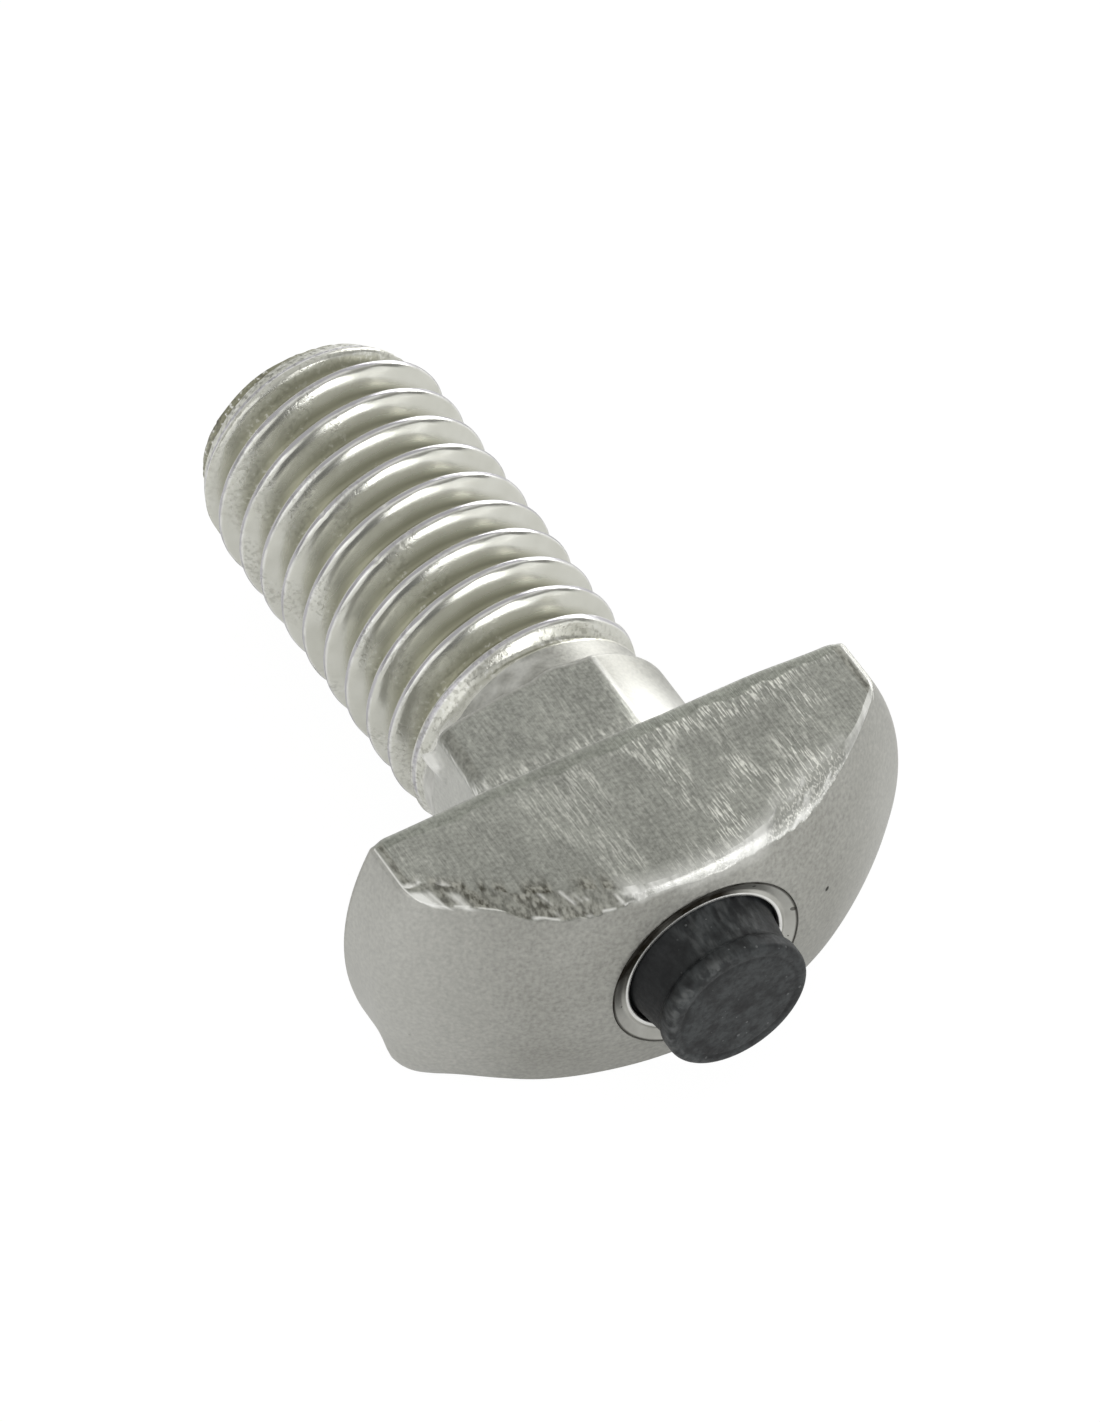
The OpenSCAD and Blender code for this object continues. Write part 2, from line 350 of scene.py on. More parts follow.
def makeRolledSteel(look):
    material, tree, shader = newMaterial("rolledSteel", 1.0, 0.26)
    where = millimetres(tree)
    patch = useGroup(tree, mottle, Where=where, Size=look["patchSize"])
    grit = noiseNode(tree, where, look["gritScale"], look["gritDetail"])
    depth = readMask(tree, "crest")  # 0 on the crest, 1 in the root
    side = readMask(tree, "flank")  # above 0 on the flank that faces the tip
    worn = readMask(tree, "worn")
    scars = stretchedNoise(tree, where, look["scars"], look["scarDetail"])
    onCrest = mapValue(tree, depth, look["crestDepth"], fadeOut, smooth=True)
    inRoot = mapValue(tree, depth, look["rootDepth"], fadeIn, smooth=True)
    # painted highlights: broken pale lines along the edges of the crest
    edgeFrom = mapValue(tree, depth, look["edgeFrom"], fadeIn, smooth=True)
    edgeTo = mapValue(tree, depth, look["edgeTo"], fadeOut, smooth=True)
    edge = times(tree, edgeFrom, edgeTo)
    edge = times(tree, edge, mapValue(tree, side, look["sideSpan"], look["sideShare"]))
    highlightLines = times(tree, edge, mapValue(tree, scars, look["scarSpan"], look["scarShare"], smooth=True))
    # grit where the thread is worn, with painted glints on it
    dull = mapValue(tree, grit, look["dullSpan"], look["dullShare"], smooth=True)
    gritty = times(tree, dull, worn)
    glint = mapValue(tree, grit, look["glintSpan"], fadeIn, smooth=True)
    highlightLines = mathNode(tree, "MAXIMUM", highlightLines, times(tree, glint, worn))
    # painted highlights: the mask whitens the nicks and the relief next to the stop face
    highlightLines = mathNode(tree, "MAXIMUM", highlightLines, readMask(tree, "bright"))

    colour = mixColour(tree, patch["Tone"], look["colour"], look["pale"])
    # painted shade: the thread's roots are made darker and olive
    colour = mixColour(tree, inRoot, colour, look["root"])
    colour = mixColour(tree, onCrest, colour, look["crest"])
    colour = mixColour(tree, highlightLines, colour, look["highlightLine"])
    colour = mixColour(tree, gritty, colour, look["grit"])
    tree.links.new(colour, shader.inputs["Base Color"])
    rough = mapValue(tree, patch["Tone"], fadeIn, look["roughness"])
    rough = mathNode(tree, "ADD", rough, times(tree, worn, look["wornRougher"]))
    rough = mathNode(tree, "ADD", rough, times(tree, inRoot, look["rootRougher"]))
    tree.links.new(rough, shader.inputs["Roughness"])
    tree.links.new(mapValue(tree, highlightLines, fadeIn, look["metallic"]), shader.inputs["Metallic"])
    seam = mapValue(tree, depth, look["seamDepth"], fadeIn, smooth=True)
    relief = mathNode(tree, "ADD", times(tree, patch["Grain"], look["grainDepth"]), seam)
    relief = mathNode(tree, "SUBTRACT", relief, gritty)
    relief = mathNode(tree, "SUBTRACT", relief, times(tree, scars, onCrest))
    setBump(tree, shader, relief, *look["bump"])
    return material


# the push-fit sleeve, with painted shade in the groove round its lip, darkest on one side, and a painted
# highlight on the lip
sleeveLook = {
    "colour": (0.44, 0.438, 0.405), "pale": (0.52, 0.518, 0.485), "shadeAndSpecks": (0.025, 0.021, 0.015),
    "lip": (0.95, 0.95, 0.93), "patchSize": 0.8, "pitSpacing": 0.6, "pitRadius": 0.12, "pitShare": 0.7,
    "smearShare": (0.75, 1.1), "roughness": (0.32, 0.44), "shadeRougher": 0.4, "bump": (0.15, 0.03),
}


def makeSleeveSteel(look):
    material, tree, shader = newMaterial("sleeveSteel", 1.0, 0.36)
    where = millimetres(tree)
    patch = useGroup(tree, mottle, Where=where, Size=look["patchSize"])
    pits = useGroup(tree, specks, Where=where, Spacing=look["pitSpacing"], Radius=look["pitRadius"])
    shadeAndSpecks = readMask(tree, "shadeAndSpecks")
    smear = mapValue(tree, patch["Tone"], fadeIn, look["smearShare"])
    colour = mixColour(tree, patch["Tone"], look["colour"], look["pale"])
    colour = mixColour(tree, times(tree, pits["Mask"], look["pitShare"]), colour, look["shadeAndSpecks"])
    # painted shade in the groove round the lip
    colour = mixColour(tree, times(tree, shadeAndSpecks, smear), colour, look["shadeAndSpecks"])
    # painted highlight on the lip
    colour = mixColour(tree, readMask(tree, "lip"), colour, look["lip"])
    tree.links.new(colour, shader.inputs["Base Color"])
    rough = mapValue(tree, patch["Grain"], noiseSpan, look["roughness"])
    rough = mathNode(tree, "ADD", rough, times(tree, shadeAndSpecks, look["shadeRougher"]))
    tree.links.new(rough, shader.inputs["Roughness"])
    setBump(tree, shader, patch["Grain"], *look["bump"])
    return material


# the pin, dark plastic with a dusty film on its outer end, and painted light: the film is heavier on one
# side of the shaft
pinLook = {
    "colour": (0.004, 0.0045, 0.0055), "dustyAndLit": (0.038, 0.042, 0.044), "dust": (0.26, 0.27, 0.27),
    "specular": 0.32, "patchSize": 0.45, "dustSpacing": 0.33, "dustRadius": 0.05, "dustShare": 0.35,
    "streaks": (7.0, 1.4, 7.0), "streakDetail": 3.0, "toneShare": (0.10, 1.25), "streakShare": (0.45, 1.55),
    "scuffs": (4.5, 1.7, 4.5), "scuffDetail": 5.0, "scuffSpan": (0.40, 0.70), "scuffShare": (0.0, 0.36),
    "roughness": (0.44, 0.60), "bump": (0.28, 0.03),
}


def makePinPlastic(look):
    material, tree, shader = newMaterial("pinPlastic", 0.0, 0.5)
    shader.inputs["Specular IOR Level"].default_value = look["specular"]
    where = millimetres(tree)
    patch = useGroup(tree, mottle, Where=where, Size=look["patchSize"])
    dust = useGroup(tree, specks, Where=where, Spacing=look["dustSpacing"], Radius=look["dustRadius"])
    film = readMask(tree, "film")
    streaky = stretchedNoise(tree, where, look["streaks"], look["streakDetail"])
    cover = times(tree, film, mapValue(tree, patch["Tone"], fadeIn, look["toneShare"]))
    cover = times(tree, cover, mapValue(tree, streaky, noiseSpan, look["streakShare"]))
    colour = mixColour(tree, cover, look["colour"], look["dustyAndLit"])
    rubbed = stretchedNoise(tree, where, look["scuffs"], look["scuffDetail"])
    rubbed = mapValue(tree, rubbed, look["scuffSpan"], look["scuffShare"], smooth=True)
    specked = times(tree, dust["Mask"], times(tree, film, look["dustShare"]))
    specked = mathNode(tree, "MAXIMUM", specked, times(tree, readMask(tree, "scuff"), rubbed))
    colour = mixColour(tree, specked, colour, look["dust"])
    tree.links.new(colour, shader.inputs["Base Color"])
    tree.links.new(mapValue(tree, patch["Grain"], noiseSpan, look["roughness"]), shader.inputs["Roughness"])
    setBump(tree, shader, mathNode(tree, "ADD", patch["Grain"], streaky), *look["bump"])
    return material


# the return spring's wire
wireLook = {
    "colour": (0.55, 0.55, 0.56), "pale": (0.66, 0.66, 0.66), "patchSize": 0.6, "roughness": (0.24, 0.36),
}


def makeWireSteel(look):
    material, tree, shader = newMaterial("wireSteel", 1.0, 0.3)
    patch = useGroup(tree, mottle, Where=millimetres(tree), Size=look["patchSize"])
    colour = mixColour(tree, patch["Tone"], look["colour"], look["pale"])
    tree.links.new(colour, shader.inputs["Base Color"])
    tree.links.new(mapValue(tree, patch["Grain"], noiseSpan, look["roughness"]), shader.inputs["Roughness"])
    return material


shearedSteel = makeShearedSteel(shearedLook)
forgedSteel = makeForgedSteel(forgedLook)
rolledSteel = makeRolledSteel(rolledLook)
sleeveSteel = makeSleeveSteel(sleeveLook)
pinPlastic = makePinPlastic(pinLook)
wireSteel = makeWireSteel(wireLook)
print("finishes made:", len(bpy.data.materials))


# mesh helpers

noiseSizes = {"cells": 2048, "start": 700, "patchCells": 256, "patchStart": 90}


def eased(part):
    return part * part * (3 - 2 * part)


def smoothNoise(place, step, seed):
    cells = noiseSizes["cells"]
    points = np.random.RandomState(seed).uniform(-1, 1, cells)
    spot = place / step + noiseSizes["start"]
    low = np.floor(spot).astype(int)
    part = eased(spot - low)
    return points[low % cells] * (1 - part) + points[(low + 1) % cells] * part


def patchNoise(across, down, step, seed):
    cells, start = noiseSizes["patchCells"], noiseSizes["patchStart"]
    points = np.random.RandomState(seed).uniform(-1, 1, (cells, cells))
    first = across / step + start
    second = down / step + start + 0 * across
    column, row = np.floor(first).astype(int), np.floor(second).astype(int)
    u, v = eased(first - column), eased(second - row)
    nextColumn, nextRow = (column + 1) % cells, (row + 1) % cells
    column, row = column % cells, row % cells
    near = points[column, row] * (1 - u) + points[nextColumn, row] * u
    far = points[column, nextRow] * (1 - u) + points[nextColumn, nextRow] * u
    return near * (1 - v) + far * v


def softMin(first, second, reach):
    blend = np.clip(0.5 + 0.5 * (second - first) / reach, 0, 1)
    return second + (first - second) * blend - reach * blend * (1 - blend)


def ramp(value, low, high):
    return eased(np.clip((value - low) / (high - low), 0, 1))


def window(value, low, high, fade):
    return ramp(value, low - fade, low) * (1 - ramp(value, high, high + fade))


def hump(value, middle, width):
    return np.exp(-((value - middle) / width) ** 2)


# rows of points round the Y axis, closed by a pole at each end
def ringMesh(name, angles, rows, firstPole, lastPole, materials, rowKinds, masks):
    count = len(angles)
    radius = np.array([row[0] + 0 * angles for row in rows])
    height = np.array([row[1] + 0 * angles for row in rows])
    points = np.stack([radius * np.cos(angles), height, radius * np.sin(angles)], -1).reshape(-1, 3)
    points = np.concatenate([points, [[0, firstPole, 0], [0, lastPole, 0]]])
    index = np.arange(len(rows) * count).reshape(len(rows), count)
    after = np.roll(index, -1, axis=1)
    faces = np.stack([index[:-1], after[:-1], after[1:], index[1:]], -1).reshape(-1, 4).tolist()
    firstTip, lastTip = len(points) - 2, len(points) - 1
    faces += [[firstTip, after[0][column], index[0][column]] for column in range(count)]
    faces += [[index[-1][column], after[-1][column], lastTip] for column in range(count)]
    kinds = np.array([kind + 0 * angles.astype(int) for kind in rowKinds])
    kinds = np.concatenate([kinds[:-1].reshape(-1), kinds[0], kinds[-1]])
    mesh = bpy.data.meshes.new(name)
    mesh.from_pydata((points * mm).tolist(), [], faces)
    for material in materials:
        mesh.materials.append(material)
    mesh.polygons.foreach_set("material_index", kinds.tolist())
    mesh.polygons.foreach_set("use_smooth", [True] * len(faces))
    for label, values in masks.items():
        full = np.concatenate([np.array([row + 0 * angles for row in values]).reshape(-1), [0.0, 0.0]])
        mesh.attributes.new(label, "FLOAT", "POINT").data.foreach_set("value", full.astype(np.float32))
    mesh.update()
    piece = bpy.data.objects.new(name, mesh)
    scene.collection.objects.link(piece)
    return piece


# the bolt: one forged blank whose section changes with the angle, then a rolled thread

boltSizes = {
    "shankLength": 17.75, "threadRadius": 3.925, "tipLength": 1.5, "tipRadius": 3.05, "tipLobe": 0.17,
    "tipLobeTurn": (120, 210, 40), "tipDish": 0.16, "dishRadius": 2.9,
    "dishRings": (0.7, 1.4, 2.1, 2.6, 2.85),
    "tipBreak": 0.08, "tipLip": 0.01, "tipEdge": 0.06, "coneFrom": 0.10, "coneCurve": 0.8,
    "reliefRadius": 3.66, "reliefLow": 3.95, "reliefMiddle": 3.98, "reliefHigh": 4.0, "threadFrom": 4.6,
    "lateStart": 0.7, "lateSide": (0.35, 0.8), "shankRows": 168,
    "neckX": 3.875, "neckZ": 3.74, "neckZRoot": 3.85, "neckFlare": 0.22, "neckRound": 3.96,
    "roundEdge": 0.03,
    "neckHeight": 3.0, "neckRise": 0.95, "neckSlope": 0.246, "cornerBevel": 0.62, "roofFrom": 0.9,
    "roofRows": 14, "roofCurve": 1.7, "roofCurl": 5, "roofEdge": 0.03,
    "neckRings": ((0.03, 0.26, 6), (0.34, 1.0, 9)), "footFillet": (0.004, 0.22),
    "filletTurns": (0.35, 0.7, 1.1, math.pi / 2),
    "headRadius": 8.535, "headHalf": 3.875, "headHeight": 6.07, "domeRadius": 11.1, "endRounding": 1.3,
    "endBevel": 0.18, "seatGroove": 0.003, "grooveX": (-3.7, 3.7, 0.25), "seatEdge": (0.003, 0.07),
    "seatCrown": 0.05, "crownX": (4.0, 7.0), "seatFall": 0.10, "fallX": (4.5, 7.4), "cornerX": (7.15, 7.55),
    "seatRings": (0.3, 0.65, 0.93), "seatHighlight": (0.25, 0.35, 0.1), "sideStep": 0.02, "sideInset": 0.012,
    "cornerBulge": 0.17, "bulgeTurn": 203.5, "bulgeWidth": 4.5, "bulgeFrom": (1.0, 1.9),
    "bulgeTo": (2.7, 3.5),
    "sideRings": (0.04, 0.12, 0.22, 0.34, 0.46, 0.58, 0.70, 0.80, 0.89, 0.96, 1.0), "bandRows": 12,
    "domeRows": 30, "domeCurve": 1.15, "holeRadius": 3.01, "holeEnd": -1.057, "holeRings": (0.05, 1.2),
    "holeBreak": (0.025, 0.005, 0.012),
}
threadSizes = {
    "Pitch": 1.25, "Depth": 0.74, "Crest Radius": 3.925, "Crest Height": 6.05, "Crest Angle": 23.2,
    "Run Out From": 3.75, "Run Out To": 4.35,
}
# crest, flank and rounded root: share of half a pitch, share of the depth
threadForm = [(0.10, 0.012), (0.19, 0.085), (0.50, 0.50), (0.78, 0.88), (0.90, 0.985)]
columnSizes = {
    "upper": 168, "lower": 84, "ends": 30, "clear": 1.1, "least": 0.14,
    "atEdges": (-1.0, -0.6, -0.35, -0.15, 0, 0.15, 0.35, 0.6, 1.0),
}
rolled, sheared, forged = 0, 1, 2  # the bolt's finishes, in the order of its material slots


# columns follow the flats evenly and crowd at the edges
def blankAngles(s, plan):
    flat = s["headHalf"]
    half = math.sqrt(s["headRadius"] ** 2 - flat ** 2)
    upper = np.degrees(np.arctan2(flat, np.linspace(half, -half, plan["upper"])))
    lower = 360 + np.degrees(np.arctan2(-flat, np.linspace(-half, half, plan["lower"])))
    end = math.degrees(math.asin(flat / s["headRadius"]))
    rightEnd = np.linspace(-end, end, plan["ends"])
    leftEnd = np.linspace(180 - end, 180 + end, plan["ends"])
    square = math.degrees(math.atan2(s["neckZ"], s["neckX"]))
    keys = [end, 180 - end, 180 + end, 360 - end, 180 - square, 360 - square]
    near = [key + step for key in keys for step in plan["atEdges"]]
    others = np.concatenate([upper, lower, rightEnd, leftEnd]) % 360
    clear = np.min(np.abs(others[:, None] - np.array(keys)), axis=1) > plan["clear"]
    every = np.sort(np.concatenate([others[clear], near]))
    kept = [every[0]]
    for angle in every[1:]:
        if angle - kept[-1] > plan["least"]:
            kept.append(angle)
    return np.radians(np.array(kept))


wornTurns = {"left": (104, 200, 16), "right": (25, 80, 14)}  # where the bolt is worn: from, to, fade


def startBlank(s):
    angles = blankAngles(s, columnSizes)
    b = SimpleNamespace(angles=angles, degrees=np.degrees(angles))
    b.cosine, b.sine = np.cos(angles), np.sin(angles)
    b.acrossX = 1 / np.maximum(np.abs(b.cosine), 1e-6)
    b.acrossZ = 1 / np.maximum(np.abs(b.sine), 1e-6)
    b.along = s["headHalf"] * b.cosine * b.acrossZ  # place along a flat
    b.roundCorners = b.cosine * b.sine > 0  # the two corners that let the bolt turn in its slot
    b.left = window(b.degrees, *wornTurns["left"])
    b.right = window(b.degrees, *wornTurns["right"])
    b.headRadius = softMin(s["headRadius"] + 0 * angles, s["headHalf"] * b.acrossZ, s["endBevel"])
    b.onFlat = ramp(s["headRadius"] - s["headHalf"] * b.acrossZ, 0.0, s["endBevel"])
    b.flatKind = np.where(b.onFlat > 0.5, sheared, forged)
    b.rows, b.kinds = [], []
    # masks for the shaders: torn metal with some painted shade, painted highlights, the shank, and wear
    b.masks = {"torn": [], "bright": [], "shank": [], "worn": []}
    return b


def addRow(b, radius, height, kind, **values):
    b.rows.append((radius, height))
    b.kinds.append(kind)
    for label, store in b.masks.items():
        store.append(np.clip(values.get(label, 0.0), 0, 1))


def domeHeight(s, radius):
    return s["domeRadius"] - s["headHeight"] - np.sqrt(s["domeRadius"] ** 2 - radius ** 2)


def neckRadius(b, s, height):
    low = np.clip(1 - height / s["neckHeight"], 0, 1)
    halfX = s["neckX"] + s["neckFlare"] * low ** 3
    halfZ = s["neckZ"] + (s["neckZRoot"] - s["neckZ"]) * low
    square = softMin(halfX * b.acrossX, halfZ * b.acrossZ, s["cornerBevel"])
    return np.where(b.roundCorners, softMin(square, s["neckRound"], s["roundEdge"]), square)


def roofHeight(s, radius):
    part = np.clip((radius - s["reliefRadius"]) / (s["neckRound"] - s["reliefRadius"]), 0, 1)
    slope = s["neckSlope"] * np.maximum(radius - s["neckRound"], 0)
    return s["neckHeight"] + s["neckRise"] * (1 - part) ** s["roofCurl"] - slope


# the tip, dished a little as a rolled end is
def addTip(b, s):
    end = s["shankLength"]
    for radius in s["dishRings"]:
        addRow(b, radius, end - s["tipDish"] * (1 - (radius / s["dishRadius"]) ** 2), forged)
    b.tipRadius = s["tipRadius"] + s["tipLobe"] * window(b.degrees, *s["tipLobeTurn"])
    addRow(b, b.tipRadius - s["tipBreak"], end - s["tipLip"], forged, worn=1.0)
    addRow(b, b.tipRadius, end - s["tipEdge"], rolled, shank=1.0, worn=1.0)


threadWear = {
    "noiseRadius": 4, "tipGrit": (1.5, 0.4), "ragged": 0.035, "raggedLead": 3, "raggedNoise": (0.16, 11),
    "bruise": 0.4, "bruiseLead": 2.0, "bruiseNoise": (1.1, 5), "bruiseSpan": (0.1, 0.6),
    "leftGrit": 0.6, "leftTo": (4.6, 6.0), "rightGrit": 0.8, "rightTo": (4.2, 4.7),
    "nickWidth": 1.3, "nickHeight": 0.09, "nickDepth": 0.05,
    "nicks": [(105.1, 10.78), (132.0, 14.7), (121.0, 9.5), (128.0, 12.0)],  # turn round the shank, height
}


# plain shank, on which the thread is rolled afterwards; gritty at the tip and at the run-out
def addShank(b, s, wear):
    end = s["shankLength"]
    girth = b.angles * wear["noiseRadius"]
    threadFrom = s["threadFrom"] + s["lateStart"] * ramp(b.cosine, *s["lateSide"])
    for height in np.linspace(end - s["coneFrom"], s["reliefHigh"], s["shankRows"]):
        part = ((end - height) / s["tipLength"]) ** s["coneCurve"]
        cone = b.tipRadius + (s["threadRadius"] - b.tipRadius) * part
        runIn = ramp(height, s["reliefHigh"], threadFrom)
        runIn = s["reliefRadius"] + (s["threadRadius"] - s["reliefRadius"]) * runIn
        rough = ramp(height, end - wear["tipGrit"][0], end - wear["tipGrit"][1])
        ragged = smoothNoise(girth + height * wear["raggedLead"], *wear["raggedNoise"])
        ragged = np.minimum(wear["ragged"] * rough * ragged, 0)
        bruised = smoothNoise(girth + wear["bruiseLead"] * height, *wear["bruiseNoise"])
        bruised = wear["bruise"] * b.left * ramp(bruised, *wear["bruiseSpan"])
        runOut = wear["leftGrit"] * b.left * (1 - ramp(height, *wear["leftTo"]))
        runOut = runOut + wear["rightGrit"] * b.right * (1 - ramp(height, *wear["rightTo"]))
        worn = np.maximum(np.maximum(rough, bruised), runOut)
        # nicks in the crests, painted white as highlights
        knock = 0
        for turn, spot in wear["nicks"]:
            knock = knock + hump(b.degrees, turn, wear["nickWidth"]) * hump(height, spot, wear["nickHeight"])
        radius = np.minimum(np.minimum(cone, runIn), s["threadRadius"]) + ragged - wear["nickDepth"] * knock
        addRow(b, radius, height, rolled, shank=1.0, worn=worn, bright=knock)


neckWear = {
    "stopHighlight": 0.36, "stopSpan": (0.5, 0.8), "stopRoof": 1.2, "stopEdge": 0.6, "leftGrit": 0.5,
    "rightGrit": 0.8,
    "burr": 0.36, "burrTurn": 149.0, "burrWidth": 3.4, "burrRise": 0.9, "burrFrom": (0.6, 1.0),
    "burrEdge": 0.6,
    "burrHighlight": 1.3, "burrTo": (0.05, 0.28), "burrDrop": 0.25,
    "roofHighlight": 0.05, "roofPatches": 0.24, "roofGirth": 1.2, "roofNoise": (0.15, 21), "roofRim": 0.06,
    "rimFrom": (0.5, 0.9), "roofLeft": 0.13, "roofLeftTurn": (96, 138, 12), "roofRight": 0.8,
    "edgeHighlight": 0.2,
    "borderHighlight": 0.45, "borderWidth": 0.022, "edgeLine": 1.1, "edgePlace": 0.45, "edgeWidth": 0.10,
    "jagBase": 0.45, "jagShare": 0.75, "jagLead": 3, "jagNoise": (0.25, 23), "dieHighlight": 0.38,
    "dieFrom": (0.1, 1.0),
    "bevelSpan": (-0.45, 0.36, 0.08), "bevelShade": 0.3, "bevelShadeTo": (0.6, 0.85), "bevelHighlight": 0.8,
    "highlightFrom": (0.75, 0.95),
}


# relief and the top of the neck, with a burr at the square corner on the left, and painted highlights on the
# stop face, the roof, its edge and the burr
def addNeckRoof(b, s, wear):
    b.pastCorner = s["neckZ"] * b.acrossZ - s["neckX"] * b.acrossX  # how far past the corner
    # painted light: the stop face on the left side of the neck is made lighter
    b.stopFace = wear["stopHighlight"] * ramp(b.pastCorner, *wear["stopSpan"]) * (b.cosine < 0)
    grit = wear["leftGrit"] * b.left + wear["rightGrit"] * b.right
    for height in (s["reliefMiddle"], s["reliefLow"]):
        addRow(b, s["reliefRadius"], height, rolled, worn=grit, bright=b.stopFace)
    neckTop = neckRadius(b, s, s["neckHeight"] * s["roofFrom"])
    b.blot = hump(b.degrees, wear["burrTurn"], wear["burrWidth"])
    b.neckBurr = b.blot * wear["burr"]
    for part in np.linspace(0.0, 1.0, s["roofRows"])[1:] ** s["roofCurve"]:
        radius = s["reliefRadius"] + (neckTop - s["reliefRadius"]) * part
        height = roofHeight(s, radius) + wear["burrRise"] * b.neckBurr * ramp(part, *wear["burrFrom"])
        # painted highlights on the roof: patchy, lighter towards its rim and on the left, dimmer on the
        # right
        patches = patchNoise(wear["roofGirth"] * b.angles, height, *wear["roofNoise"])
        highlight = wear["roofHighlight"] + wear["roofPatches"] * patches
        highlight = highlight + wear["roofRim"] * ramp(part, *wear["rimFrom"])
        highlight = highlight + wear["roofLeft"] * window(b.degrees, *wear["roofLeftTurn"])
        highlight = highlight * (1 - wear["roofRight"] * b.right)
        highlight = highlight + wear["stopRoof"] * b.stopFace + wear["burrHighlight"] * b.blot * part
        addRow(b, radius - s["roofEdge"] * part, height, forged, bright=highlight)
    b.cornerTop = roofHeight(s, neckTop) - s["roofEdge"]
    highlight = wear["edgeHighlight"] + wear["stopEdge"] * b.stopFace + wear["burrHighlight"] * b.blot
    addRow(b, neckTop + b.neckBurr, b.cornerTop + wear["burrEdge"] * b.neckBurr, forged, bright=highlight)


# sides of the neck and the fillet at its foot, with painted highlights along its edges
def addNeckSides(b, s, wear):
    flatReach, sideReach = s["neckZ"] * b.acrossZ, s["neckX"] * b.acrossX
    corner = softMin(flatReach, sideReach, 0.01) + 0.02
    neckKind = np.where(b.roundCorners & (corner > s["neckRound"]), forged, sheared)
    # painted highlights: on the die-formed rounded corners, a line along their border, and a jagged line at
    # the square edge
    dieFaceHighlight = np.where(neckKind == forged, wear["dieHighlight"], 0.0)
    border = wear["borderHighlight"] * b.roundCorners * hump(flatReach, s["neckRound"], wear["borderWidth"])
    pastCorner = np.where(b.roundCorners, 0, b.pastCorner)
    squareEdge = wear["edgeLine"] * hump(pastCorner, wear["edgePlace"], wear["edgeWidth"])
    leftBevel = window(pastCorner, *wear["bevelSpan"]) * (pastCorner != 0) * (b.cosine < 0)
    b.foot = neckRadius(b, s, 0.0)
    b.fillet = np.clip((b.headRadius - b.foot) * 0.5, *s["footFillet"])
    for part in np.concatenate([np.linspace(*rings) for rings in s["neckRings"]]):
        height = b.cornerTop + (b.fillet - b.cornerTop) * part
        jag = smoothNoise(height * wear["jagLead"] + b.degrees, *wear["jagNoise"])
        jag = wear["jagBase"] + wear["jagShare"] * jag
        highlight = border + squareEdge * jag + b.stopFace + dieFaceHighlight * ramp(part, *wear["dieFrom"])
        highlight = np.clip(highlight + wear["burrHighlight"] * b.blot * (1 - ramp(part, *wear["burrTo"])), 0, 1)
        highlight = highlight + wear["bevelHighlight"] * leftBevel * jag * ramp(part, *wear["highlightFrom"])
        # painted shade: the left bevel is darkened with the torn colour near the roof
        torn = wear["bevelShade"] * leftBevel * (1 - ramp(part, *wear["bevelShadeTo"]))
        rounded = math.sqrt(max(1 - (part / wear["burrDrop"]) ** 2, 0))
        radius = neckRadius(b, s, height) + b.neckBurr * rounded
        addRow(b, radius, height, neckKind, bright=highlight, torn=torn)
    b.dip = s["seatGroove"] * window(b.along, *s["grooveX"]) * (np.abs(b.sine) > 0.5)
    lastTurn = s["filletTurns"][-1]
    for turn in s["filletTurns"]:
        radius = b.foot + b.fillet * (1 - math.cos(turn)) - b.dip * turn / lastTurn
        kind = forged if turn == lastTurn else neckKind
        addRow(b, radius, b.fillet * (1 - math.sin(turn)) + b.dip, kind)


# the seat under the head, crowned a little, with its edge, which carries a painted highlight
def addSeat(b, s):
    start = b.foot + b.fillet
    edge = np.clip((b.headRadius - start) * 0.4, *s["seatEdge"])
    seat = s["seatCrown"] * (1 - ramp(np.abs(b.along), *s["crownX"]))
    seat = seat - s["seatFall"] * ramp(b.along, *s["fallX"])
    seat = seat - s["seatFall"] * ramp(np.abs(b.along), *s["cornerX"])
    for part in s["seatRings"]:
        addRow(b, start + (b.headRadius - edge - start) * part - b.dip, seat * part, forged)
    addRow(b, b.headRadius - edge - b.dip * 0.6, seat, forged, bright=s["seatHighlight"][0])
    addRow(b, b.headRadius - edge * 0.3, seat - edge * 0.3, b.flatKind, bright=s["seatHighlight"][1])
    b.sideStart = seat - edge - s["sideStep"]
    addRow(b, b.headRadius - s["sideInset"], b.sideStart, b.flatKind, bright=s["seatHighlight"][2])


